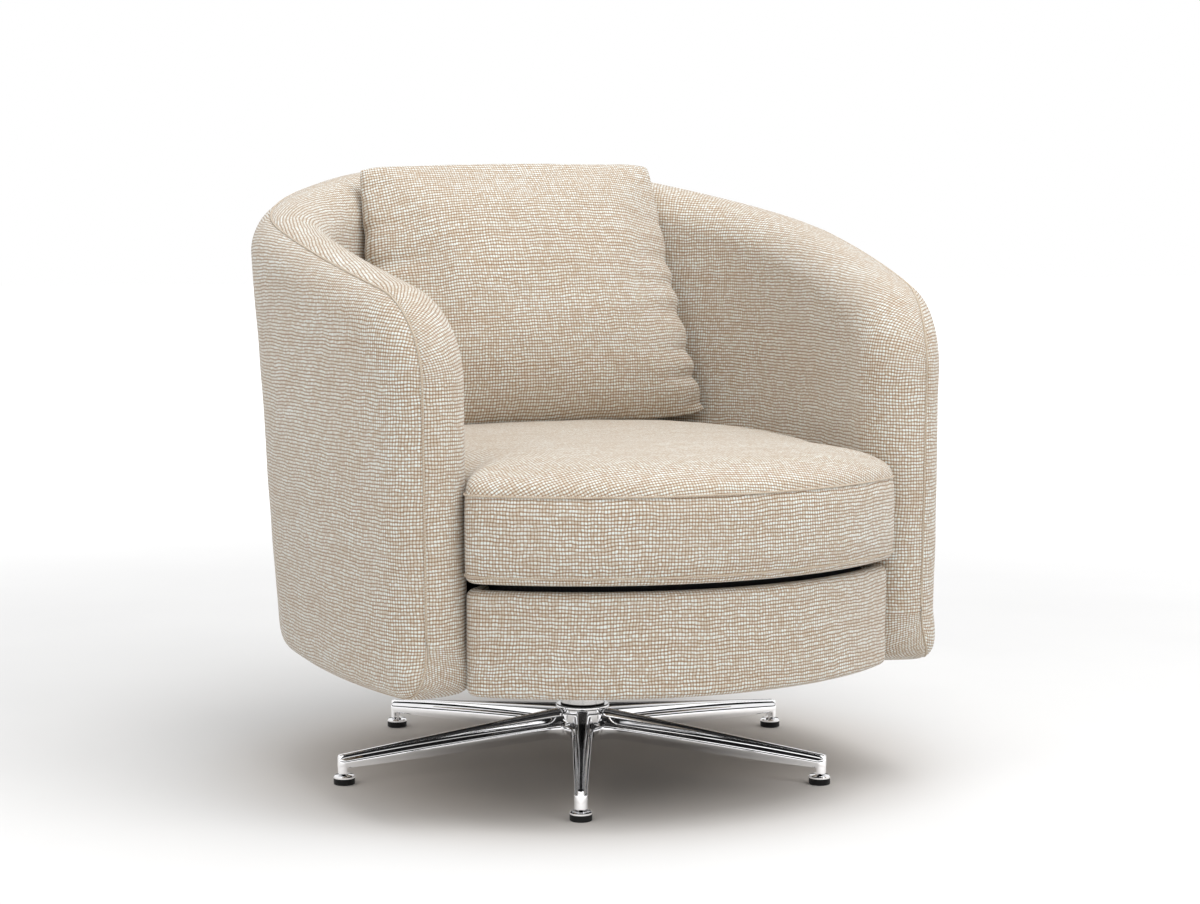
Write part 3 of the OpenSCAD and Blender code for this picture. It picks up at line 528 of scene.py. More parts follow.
def pressed(piece: Piece, pressure: float, pins: Array, stiffness: float = 12.0,
            frames: int = 20) -> Array:
    """Blows a closed cloth form up for a few frames and gives where its points end.

    Args:
        piece: The closed form.
        pressure: Air pressure inside it.
        pins: How firmly each point is held, from 0 to 1.
        stiffness: Resistance of the cloth to being stretched.
        frames: Number of frames that are run.

    Returns:
        The points' places afterwards, without changing the piece.
    """
    count = len(piece.data.vertices)
    held = piece.vertex_groups.new(name="held")
    for level in np.unique(np.round(pins[pins > 0], 2)):
        rows = np.nonzero(np.abs(pins - level) < 0.006)[0].tolist()
        held.add(rows, float(level), "REPLACE")
    cloth = piece.modifiers.new("pressure", "CLOTH")
    settings = cloth.settings
    settings.quality = 5
    settings.mass = 0.3
    settings.use_pressure = True
    settings.uniform_pressure_force = pressure
    settings.tension_stiffness = stiffness
    settings.compression_stiffness = stiffness
    settings.shear_stiffness = stiffness * 0.5
    settings.bending_stiffness = 0.4
    settings.effector_weights.gravity = 0.0
    settings.vertex_group_mass = "held"
    settings.pin_stiffness = 1.0
    cloth.collision_settings.use_collision = False
    cloth.collision_settings.use_self_collision = False
    cloth.point_cache.frame_start = 1
    cloth.point_cache.frame_end = frames
    scene = bpy.context.scene
    for number in range(1, frames + 1):
        scene.frame_set(number)
    shape = piece.evaluated_get(bpy.context.evaluated_depsgraph_get())
    places = np.zeros(count * 3)
    shape.data.vertices.foreach_get("co", places)
    piece.modifiers.remove(cloth)
    piece.vertex_groups.remove(held)
    scene.frame_set(1)
    return places.reshape(-1, 3)


def corners_of(piece: Piece) -> Array:
    """The places of a mesh's points."""
    places = np.zeros(len(piece.data.vertices) * 3)
    piece.data.vertices.foreach_get("co", places)
    return places.reshape(-1, 3)


def reshape(piece: Piece, places: Array) -> None:
    """Moves a mesh's points to new places."""
    piece.data.vertices.foreach_set("co", places.astype(np.float32).ravel())
    piece.data.update()


def capped(start: Array, end: Array, cap: Array) -> Array:
    """End places whose way from the start is softly limited.

    A way of length d becomes cap * tanh(d / cap), in the same direction.
    """
    way = end - start
    length = np.linalg.norm(way, axis=1, keepdims=True)
    cap = np.maximum(cap, 1e-9).reshape(-1, 1)
    return start + way / np.maximum(length, 1e-12) * cap * np.tanh(length / cap)


def calmed(piece: Piece, values: Array, rounds: int) -> Array:
    """Values at a mesh's points, averaged with their neighbours again and again.

    In each round a value keeps 0.4 of itself and takes 0.6 of the mean of its neighbours.
    """
    edges = np.zeros(len(piece.data.edges) * 2, dtype=np.int32)
    piece.data.edges.foreach_get("vertices", edges)
    a, b = edges.reshape(-1, 2).T
    count = np.bincount(edges, minlength=len(values))[:, None]
    for _ in range(rounds):
        total = np.zeros_like(values)
        np.add.at(total, a, values[b])
        np.add.at(total, b, values[a])
        values = values * 0.4 + total / count * 0.6
    return values


def resampled(line: Array, count: int) -> Array:
    """A line of points with count points spread evenly along its length."""
    length = running_length(line)
    wanted = np.linspace(0, length[-1], count)
    return np.stack([np.interp(wanted, length, line[:, k]) for k in range(line.shape[1])], axis=1)


def coons(front: Array, right: Array, back: Array, left: Array) -> Array:
    """A surface between four edge lines: the two ruled surfaces less the one through the corners.

    Args:
        front: From the left to the right corner in front.
        right: From the front to the back corner on the right.
        back: From the left to the right corner behind.
        left: From the front to the back corner on the left.

    Returns:
        Points of shape (rows from front to back, columns from left to right, coordinates).
    """
    s = np.linspace(0, 1, len(front))[None, :, None]
    t = np.linspace(0, 1, len(left))[:, None, None]
    across = left[:, None] * (1 - s) + right[:, None] * s
    along = front[None] * (1 - t) + back[None] * t
    corner = (front[0] * (1 - s) + front[-1] * s) * (1 - t) + (back[0] * (1 - s) + back[-1] * s) * t
    return across + along - corner


@dataclass
class SeatCushion:
    """The loose seat cushion: crowned top, boxing band, seams, and the outline of the shell inside."""

    wall: BarrelWall
    bottom: float = 0.289
    top: float = 0.430
    crown: float = 0.040
    crown_power: float = 5.0
    shoulder: float = 0.37
    edge_radius: float = 0.009
    gap: float = 0.0016
    front_radius: float = 0.422
    proud: float = 0.002
    corner_radius: float = 0.024
    corner_inset: float = 0.037
    centre: Pair = (0.0, -0.051)
    back_corner: float = 0.36
    front_start: float = -0.30
    front_blend: float = 0.05
    across: int = 92
    along: int = 76
    spacing_power: float = 1.5
    band_rows: int = 17
    band_bulge: float = 0.0045
    seam_radius: float = 0.0013
    seam_proud: float = 0.0004
    seam_sides: int = 8
    soft_degrees: float = 13.0
    soft_until: float = 0.72
    soft_fade: float = 0.2
    middling_reach: float = 0.36
    cap_top: float = 0.003
    cap_front: float = 0.003
    pressure: float = 4.0
    calm_rounds: int = 3
    uneven: float = 0.0012
    uneven_scale: float = 0.3

    def __post_init__(self) -> None:
        """Works out the front arc and its corner circle."""
        self.front_centre = np.array([0.0, self.front_radius + self.proud - self.wall.depth / 2])
        nose_x = self.wall.middle(np.array(self.wall.end))[0]
        self.corner_turn = math.asin((nose_x - self.corner_inset - self.corner_radius)
                                     / (self.front_radius - self.corner_radius))
        self.corner = self.front_centre + (self.front_radius - self.corner_radius) \
            * self.ahead(self.corner_turn)
        self.seam_low = self.bottom + self.edge_radius
        self.seam_high = self.top - self.crown

    @staticmethod
    def ahead(turn: Array) -> Array:
        """Direction at a turn from straight ahead towards +X."""
        return np.stack([np.sin(turn), -np.cos(turn)], axis=-1)

    def half(self, z: float) -> tuple[Array, Array]:
        """Right half of the outline at height z, as two lines that meet at the front corner.

        Returns:
            The side, from the middle of the back round the nose to the middle of the corner, and the
            front, from there to the middle of the front.
        """
        wall = self.wall
        u = np.linspace(0, wall.end, 240)
        inner = wall.point(u, np.full_like(u, z), np.full_like(u, -wall.half - self.gap))[:, :2]
        nose = wall.point(np.array(wall.end), np.array(z), np.array(0.0))[:2]
        away = self.corner - nose
        turn = math.atan2(away[0], -away[1])
        round_nose = np.linspace(-wall.nose_turn, turn, 40)[1:-1]
        hug = nose + (wall.half + self.gap) * self.ahead(round_nose)
        split = (math.pi + turn + self.corner_turn) / 2
        bend = self.corner + self.corner_radius * self.ahead(np.linspace(math.pi + turn, split, 20))
        rest = self.corner + self.corner_radius * self.ahead(np.linspace(split, self.corner_turn, 20))
        sweep = np.linspace(self.corner_turn, 0, 80)[1:]
        arc = self.front_centre + self.front_radius * self.ahead(sweep)
        return np.concatenate([inner, hug, bend]), np.concatenate([rest, arc])

    def sides(self, z: float) -> list[Array]:
        """The outline at height z as four lines: front, right, back and left, each evenly spaced."""
        side, front = self.half(z)
        length = running_length(side)
        at = np.searchsorted(length, self.back_corner)
        mirror = np.array([-1.0, 1.0])
        ahead = np.concatenate([front * mirror, front[-2::-1]])
        right = side[at:][::-1]
        behind = np.concatenate([(side[:at + 1] * mirror)[::-1], side[1:at + 1]])
        return [resampled(ahead, self.across), resampled(right, self.along),
                resampled(behind, self.across), resampled(right * mirror, self.along)]

    def loop(self, z: float) -> Array:
        """The closed outline at height z, anticlockwise from the left front corner, end repeated."""
        front, right, behind, left = self.sides(z)
        return np.concatenate([front, right[1:], behind[-2::-1], left[-2::-1]])

    def share(self, points: Array, loop: Array, soften: bool = False) -> Array:
        """How far points lie from the centre, as a share of the way to the outline.

        Args:
            points: Places in plan.
            loop: The outline.
            soften: Whether the outline's corners fade out towards the centre.

        Returns:
            0 at the centre and 1 on the outline.
        """
        centre = np.array(self.centre)
        rim, place = loop[:-1] - centre, points - centre
        turn = np.arctan2(rim[:, 1], rim[:, 0])
        order = np.argsort(turn)
        at = np.arctan2(place[..., 1], place[..., 0])
        far, length = np.linalg.norm(rim, axis=1)[order], np.linalg.norm(place, axis=-1)
        share = length / np.interp(at, turn[order], far, period=2 * math.pi)
        if not soften:
            return share
        count = 720
        even = np.linspace(-math.pi, math.pi, count + 1)[:-1]
        reach = np.interp(even, turn[order], far, period=2 * math.pi)
        degrees = np.minimum(np.arange(count), count - np.arange(count)) * (360 / count)
        bell = np.exp(-(degrees / self.soft_degrees) ** 2)
        reach = np.fft.irfft(np.fft.rfft(reach) * np.fft.rfft(bell / bell.sum()), count)
        soft = length / np.interp(at, even, reach, period=2 * math.pi)
        weight = smooth_step((share - self.soft_until) / self.soft_fade)
        return share * weight + soft * (1 - weight)

    def dome(self, points: Array) -> Array:
        """Height of the top panel over a place: crown * (1 - share^power)^shoulder over the seam."""
        share = np.clip(self.share(points, self.loop(self.seam_high), soften=True), 0, 1)
        share = np.where(share > 0.9998, 1.0, share)
        return self.seam_high + self.crown * (1 - share ** self.crown_power) ** self.shoulder

    def lid(self) -> Patch:
        """The domed top panel inside the upper seam, its grid closer together near the seam."""
        flat = coons(*self.sides(self.seam_high))
        share = np.clip(self.share(flat, self.loop(self.seam_high)), 1e-6, 1)
        share = np.where(share > 0.9995, 1.0, share)
        centre = np.array(self.centre)
        flat = centre + (flat - centre) * ((1 - (1 - share) ** self.spacing_power) / share)[..., None]
        height = self.dome(flat) + self.uneven * swell(flat, self.uneven_scale, 5) * (1 - share ** 4)
        return Patch(lifted(flat, height), self.draped(flat))

    def draped(self, flat: Array) -> Array:
        """Cloth coordinates over the dome: places pushed out by the extra length of cloth up to them.

        The extra is the sum of sqrt(dr^2 + dh^2) - dr along a middling way from the centre.
        """
        share = 1 - (1 - np.linspace(0, 1, 500)) ** 3
        step = np.diff(share * self.middling_reach)
        fall = np.diff((1 - share ** self.crown_power) ** self.shoulder * self.crown)
        extra = np.concatenate([[0.0], np.cumsum(np.hypot(step, fall) - step)])
        at = np.clip(self.share(flat, self.loop(self.seam_high), soften=True), 0, 1)
        way = flat - np.array(self.centre)
        return flat + way / np.maximum(np.linalg.norm(way, axis=-1, keepdims=True), 1e-9) \
            * np.interp(at, share, extra)[..., None]

    def in_front(self, y: Array) -> Array:
        """How far places belong to the front: 0 behind its start and 1 past the blend."""
        return np.clip((self.front_start - y) / self.front_blend, 0, 1)

    @staticmethod
    def outward(loop: Array) -> Array:
        """Level directions square to an outline that ends where it starts."""
        step = np.roll(loop[:-1], -1, axis=0) - np.roll(loop[:-1], 1, axis=0)
        out = np.stack([step[:, 1], -step[:, 0]], axis=1) / np.linalg.norm(step, axis=1)[:, None]
        return np.concatenate([out, out[:1]])

    def band(self) -> Patch:
        """The boxing between the seams: the outline at each height, bulging by a flat arch in front."""
        rows = []
        for share in np.linspace(0, 1, self.band_rows):
            z = self.seam_low + (self.seam_high - self.seam_low) * share
            loop = self.loop(z)
            arch = self.band_bulge * (1 - (2 * share - 1) ** 4) * self.in_front(loop[:, 1])[:, None]
            rows.append(lifted(loop + self.outward(loop) * arch, z))
        points = np.stack(rows)
        return Patch(points, grid(running_length(points[0])[None, :], points[..., 2]))

    def bottom_edge(self) -> Patch:
        """The rounded edge from the flat bottom out and up to the lower seam."""
        loop = self.loop(self.seam_low)
        out = self.outward(loop)
        angles = np.linspace(0, math.pi / 2, 6)
        rows = [lifted(loop - out * (self.edge_radius * (1 - math.cos(angle))),
                       self.seam_low - self.edge_radius * math.sin(angle)) for angle in angles]
        points = np.stack(rows[::-1])
        run = running_length(points[-1])
        return Patch(points, grid(run[None, :], (angles * self.edge_radius)[:, None]))

    def floor_panel(self, edge: Patch) -> Patch:
        """The flat panel inside the bottom edge's last row."""
        ring = edge.points[0]
        a, b = self.across - 1, self.along - 1
        front, right = ring[:a + 1], ring[a:a + b + 1]
        behind, left = ring[a + b:2 * a + b + 1][::-1], ring[2 * a + b:][::-1]
        points = coons(front, right, behind, left)
        return Patch(points, points[..., :2].copy())

    def seam(self, z: float) -> Patch:
        """The cord in a seam: a tube along the outline, mostly sunk in."""
        loop = self.loop(z)
        path = lifted(loop + self.outward(loop) * self.seam_proud, z)[:-1]
        return tube(path, self.seam_radius, self.seam_sides)

    def build(self, weave: Material, cord_weave: Material) -> list[Piece]:
        """Makes the cushion, blown up between its seams, and the two cords in them."""
        edge = self.bottom_edge()
        piece = sew("seat_cushion_cloth", [self.lid(), self.band(), edge, self.floor_panel(edge)], weave)
        start = corners_of(piece)
        high = np.abs(start[:, 2] - self.seam_high) < 1e-4
        low = start[:, 2] < self.seam_low + 1e-4
        share = self.share(start[:, :2], self.loop(self.seam_high))
        on_seam = high & (share > 0.995)
        pins = np.where(low | on_seam, 1.0, 0.0)
        end = pressed(piece, self.pressure, pins)
        lid = start[:, 2] > self.seam_high + 1e-4
        front = self.cap_front * self.in_front(start[:, 1])
        cap = np.where(lid, self.cap_top, np.where(low, 0.0, front))
        way = capped(start, end, cap) - start
        reshape(piece, start + calmed(piece, way, self.calm_rounds))
        round_off(piece)
        cords = [self.seam(self.seam_low), self.seam(self.seam_high)]
        return [piece, sew("seat_cushion_seams", cords, cord_weave)]


def round_off(piece: Piece) -> None:
    """Adds a subdivision surface with the same level in the view and the render."""
    smooth = piece.modifiers.new("rounding", "SUBSURF")
    smooth.levels = smooth.render_levels = 1


@dataclass
class BackPillow:
    """The loose square pillow: two panels sewn round their edge and stuffed, leaning on the back."""

    wall: BarrelWall
    seat: SeatCushion
    width: float = 0.434
    height: float = 0.360
    thickness: float = 0.140
    lean: float = math.radians(17.0)
    draw: float = 0.006
    swell: float = 0.007
    puff_power: float = 0.42
    low_power: float = 0.32
    sag_share: float = 0.20
    across: int = 72
    along: int = 62
    pressure: float = 3.0
    roll: float = math.radians(1.2)
    clear: float = 0.0005
    rim_drop: float = 0.012
    cap: float = 0.007
    uneven: float = 0.0016
    uneven_scale: float = 0.16
    corner_draw: float = 0.016
    corner_power: int = 14
    spread: float = 0.160
    aside: float = 0.006
    pucker: float = 0.0024
    pucker_scale: float = 0.32
    pucker_reach: float = 7.0
    seam_fade: float = 60.0
    scallop: float = 0.012
    scallop_length: float = 0.24
    scallop_sharpness: float = 0.7
    scallop_top: float = 0.75
    scallop_fade: float = 0.7
    side_reach: float = 16.0
    face_reach: float = 6.0
    face_share: float = 0.9
    cloth_slack: float = 1.06
    stiffness: float = 9.0
    frames: int = 24
    calm_rounds: int = 14

    def shape(self, q: Array, face: int) -> Array:
        """A point of the plump form: x across, y out to the front, z up, about the middle.

        Its edge is drawn in by draw * (1 - y^2) at the sides and swells at the top and bottom, and
        its thickness is that of 1 - x^2 and 1 - y^2, each to a power of about a half, which grows
        towards the bottom. The corners are drawn in with a high power of x and y, and the form is
        wider towards its bottom.
        """
        x, y = q[..., 0], q[..., 1]
        puff = np.maximum(0, 1 - x * x) ** self.puff_power * (1 - self.sag_share * y)
        puff = puff * np.maximum(0, 1 - y * y) ** (self.puff_power + self.low_power * np.maximum(0, -y))
        tuck = 1 - self.corner_draw * (x * y) ** self.corner_power
        wide = 1 + self.spread * (1 - y) / 2
        return np.stack([x * tuck * wide * (self.width / 2 - self.draw * (1 - y * y)),
                         -face * puff * self.thickness / 2,
                         y * tuck * (self.height / 2 + self.swell * (1 - x * x))], axis=-1)

    def puckers(self, q: Array, face: int) -> Array:
        """Small folds that run in from the seam: waves along it that fade away from it.

        The four sides and the two faces take their waves from places that lie far apart.
        """
        x, y = q[..., 0], q[..., 1]
        total = np.zeros(q.shape[:-1])
        for along, off, seed in ((y, 1 - np.abs(x), 3), (x, 1 - np.abs(y), 4)):
            side = np.where((x if seed == 3 else y) > 0, 1.0, 2.0)
            wave = swell(np.stack([along, side * 5.0 + face * 0.7], axis=-1), self.pucker_scale, seed)
            fade = np.exp(-off * self.pucker_reach) * (1 - np.exp(-off * self.seam_fade))
            total += wave * fade * (1 - along ** 6)
        return self.pucker * total

    @staticmethod
    def spaced(count: int) -> Array:
        """Numbers from -1 to 1 that lie closer together near both ends."""
        return -np.cos(np.linspace(0, math.pi, count)) * 0.55 + np.linspace(-1, 1, count) * 0.45

    def gathers(self, y: Array) -> Array:
        """How far the side seams are drawn in at a height: most where the scallops meet.

        1 less a sine wave's size to a power, which fades out towards the top and at the corners.
        """
        wave = np.sin((y + 0.03 * np.sin(9 * y)) * math.pi / self.scallop_length)
        gather = 1 - np.abs(wave) ** self.scallop_sharpness
        return gather * smooth_step((self.scallop_top - y) / self.scallop_fade) * (1 - np.abs(y) ** 10)

    def panel(self, face: int) -> Patch:
        """One panel as a grid, closer together near its edge: plump, uneven, puckered and scalloped."""
        q = np.stack(np.meshgrid(self.spaced(self.across), self.spaced(self.along)), axis=-1)
        x, y = q[..., 0], q[..., 1]
        points = self.shape(q, face)
        ease = self.uneven * swell(lifted(q * 0.2, 0.1 * face), self.uneven_scale, 21)
        points[..., 1] += ease * (1 - x ** 6) * (1 - y ** 6) + self.puckers(q, face)
        gather, off = self.gathers(y), np.abs(x) - 1
        points[..., 0] -= self.scallop * gather * np.exp(off * self.side_reach) * np.sign(x)
        hollow = self.scallop * self.face_share * gather * np.exp(off * self.face_reach)
        points[..., 1] += face * hollow * (1 - x ** 30)
        cloth = q * np.array([self.width, self.height]) / 2 * self.cloth_slack
        if face < 0:
            cloth = cloth * np.array([-1, 1]) + np.array([self.width * 1.2, 0])
        return Patch(points, cloth)

    def set_down(self, local: Array) -> Array:
        """Leans and rolls the pillow, and moves it to where the plain solid lies."""
        x, y, z = local[:, 0], local[:, 1], local[:, 2]
        x, z = x * math.cos(self.roll) - z * math.sin(self.roll), \
            x * math.sin(self.roll) + z * math.cos(self.roll)
        low, high = (np.array(corner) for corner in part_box("back_pillow"))
        c, s = math.cos(self.lean), math.sin(self.lean)
        places = np.stack([x, y * c + z * s, z * c - y * s], axis=1)
        middle = (places.max(axis=0) + places.min(axis=0)) / 2
        places += (low + high) / 2 - middle + np.array([self.aside, 0.0, 0.0])
        return places

    def wall_behind(self, x: Array, z: Array) -> Array:
        """How far back the wall's inner face lies at a distance across and a height."""
        wall = self.wall
        grow = wall.back_lean * (z - wall.datum) - wall.half
        turn_x = (wall.back_radius + grow) * math.sin(wall.back_turn)
        near = wall.back_centre[1] + np.sqrt(np.maximum(0, (wall.back_radius + grow) ** 2 - x * x))
        off = np.abs(x) - wall.corner_centre[0]
        reach = np.maximum(0, (wall.corner_radius + grow) ** 2 - off * off)
        far = wall.corner_centre[1] + np.sqrt(reach)
        return np.where(np.abs(x) < turn_x, near, far)

    def settled(self, places: Array) -> Array:
        """Presses the pillow flat where it would cut into the wall or the cushion."""
        x, y, z = places[:, 0], places[:, 1], places[:, 2]
        rim = self.wall.mid_top - self.rim_drop
        behind = self.wall_behind(x, np.minimum(z, rim)) - self.clear
        rise = np.clip((z - rim) / self.wall.half, 0, 1)
        behind = behind + self.wall.half * (1 - np.sqrt(np.maximum(0, 1 - rise ** 2)))
        y = np.minimum(y, behind)
        z = np.maximum(z, self.seat.dome(places[:, :2]) + self.seat.uneven + self.clear)
        return np.stack([x, y, z], axis=1)

    def build(self, weave: Material) -> Piece:
        """Makes the pillow, stuffed by cloth pressure and set down on the cushion."""
        piece = sew("back_pillow_cloth", [self.panel(1), self.panel(-1)], weave)
        start = corners_of(piece)
        reshape(piece, start * np.array([1.0, 0.75, 1.0]))
        end = pressed(piece, self.pressure, np.zeros(len(start)), self.stiffness, self.frames)
        end -= (end.max(axis=0) + end.min(axis=0)) / 2
        end *= np.ptp(start, axis=0) / np.ptp(end, axis=0)
        cap = self.cap * (0.2 + 0.8 * np.minimum(1, np.abs(start[:, 1]) * 2 / self.thickness))
        start = start + calmed(piece, capped(start, end, cap) - start, self.calm_rounds)
        reshape(piece, self.settled(self.set_down(start)))
        round_off(piece)
        return piece


@dataclass
class Skirt:
    """The padded band round the front of the seat, whose ends turn back beside the arms."""

    wall: BarrelWall
    bottom: float = 0.158
    top: float = 0.2805
    setback: float = 0.009
    radius: float = 0.412
    corner_inset: float = 0.041
    corner_radius: float = 0.026
    thickness: float = 0.018
    edge_radius: float = 0.009
    back_edge: float = 0.003
    return_length: float = 0.025
    return_turn: float = math.radians(130.0)
    uneven: float = 0.0009
    uneven_scale: float = 0.2
    cloth_shift: float = 0.0013

    def stations(self) -> tuple[Array, Array]:
        """Points along the outer line and their turns from straight ahead, from left to right."""
        centre = np.array([0.0, self.radius + self.setback - self.wall.depth / 2])
        nose_x = self.wall.middle(np.array(self.wall.end))[0]
        end = math.asin((nose_x - self.corner_inset - self.corner_radius)
                        / (self.radius - self.corner_radius))
        corner = centre + (self.radius - self.corner_radius) * SeatCushion.ahead(end)
        front_a = np.linspace(0, end, 50)
        bend_a = np.linspace(end, self.return_turn, 26)[1:]
        front = centre + self.radius * SeatCushion.ahead(front_a)
        bend = corner + self.corner_radius * SeatCushion.ahead(bend_a)
        way = np.array([math.cos(self.return_turn), math.sin(self.return_turn)])
        tail = bend[-1] + way * np.linspace(0, self.return_length, 7)[1:, None]
        line = np.concatenate([front, bend, tail])
        turns = np.concatenate([front_a, bend_a, np.full(6, self.return_turn)])
        mirror = np.array([-1.0, 1.0])
        return np.concatenate([(line * mirror)[:0:-1], line]), np.concatenate([-turns[:0:-1], turns])

    def build(self, weave: Material) -> Piece:
        """Makes the band: a rounded section carried along the stations, with closed ends."""
        line, turns = self.stations()
        a = np.linspace(0, math.pi / 2, 8)
        e, b, t = self.edge_radius, self.back_edge, self.thickness
        low, high = self.bottom, self.top
        face = np.linspace(0, 1, 22)[1:-1]
        section = np.concatenate([
            np.stack([t - e + e * np.sin(a), low + e - e * np.cos(a)], axis=1),
            np.stack([np.full_like(face, t), low + e + (high - low - 2 * e) * face], axis=1),
            np.stack([t - e + e * np.cos(a), high - e + e * np.sin(a)], axis=1),
            np.stack([b - b * np.sin(a[::2]), high - b + b * np.cos(a[::2])], axis=1),
            np.stack([b - b * np.cos(a[::2]), low + b - b * np.sin(a[::2])], axis=1)])
        section = np.concatenate([section, section[:1]])
        out = SeatCushion.ahead(turns)
        run = running_length(line)
        run = run[:, None] - run[-1] / 2
        wave = swell(grid(run, section[None, :, 1]), self.uneven_scale, 8)
        inward = -(1 - wave) * self.uneven / 2 * (section[:, 0] > b)
        reach = section[None, :, 0] - t + inward
        flat = line[:, None] + out[:, None] * reach[..., None]
        cloth = grid(run, running_length(section)[None, :] + self.cloth_shift)
        return sew("skirt_cloth", [Patch(lifted(flat, section[None, :, 1]), cloth)], weave, caps=True)


# Rigid parts


def joined(name: str, parts: list[Piece], cuts: list[Piece], crease: float = math.radians(34)) -> Piece:
    """One solid made of overlapping closed forms, less others, with its hard edges kept crisp.

    Args:
        name: Name of the result.
        parts: Forms that are united. They are used up.
        cuts: Forms that are taken away. They are used up.
        crease: Edges that turn by more than this stay hard.

    Returns:
        The new object.
    """
    first = parts[0]
    for kind, forms in (("UNION", parts[1:]), ("DIFFERENCE", cuts)):
        for other in forms:
            step = first.modifiers.new(kind, "BOOLEAN")
            step.operation = kind
            step.solver = "EXACT"
            step.object = other
    shape = first.evaluated_get(bpy.context.evaluated_depsgraph_get())
    mesh = bpy.data.meshes.new_from_object(shape)
    mesh.name = name
    for other in parts + cuts:
        bpy.data.meshes.remove(other.data)
    form = bmesh.new()
    form.from_mesh(mesh)
    bmesh.ops.remove_doubles(form, verts=form.verts, dist=1e-6)
    bmesh.ops.dissolve_degenerate(form, edges=form.edges, dist=1e-6)
    for face in form.faces:
        face.smooth = True
    form.to_mesh(mesh)
    form.free()
    mesh.set_sharp_from_angle(angle=crease)
    return placed(name, mesh)


def block(name: str, low: Triple, high: Triple, place: Matrix) -> Piece:
    """A plain box for cutting with, between two corners and then put in place."""
    x, y, z = (np.array([a, b]) for a, b in zip(low, high))
    corner = np.stack([g.ravel() for g in np.meshgrid(x, y, z, indexing="ij")], axis=1)
    turn = np.array(place.to_3x3())
    corner = corner @ turn.T + np.array(place.translation)
    faces = [(0, 1, 3, 2), (4, 6, 7, 5), (0, 4, 5, 1), (2, 3, 7, 6), (0, 2, 6, 4), (1, 5, 7, 3)]
    mesh = bpy.data.meshes.new(name)
    mesh.from_pydata(corner.tolist(), [], faces)
    return placed(name, mesh)


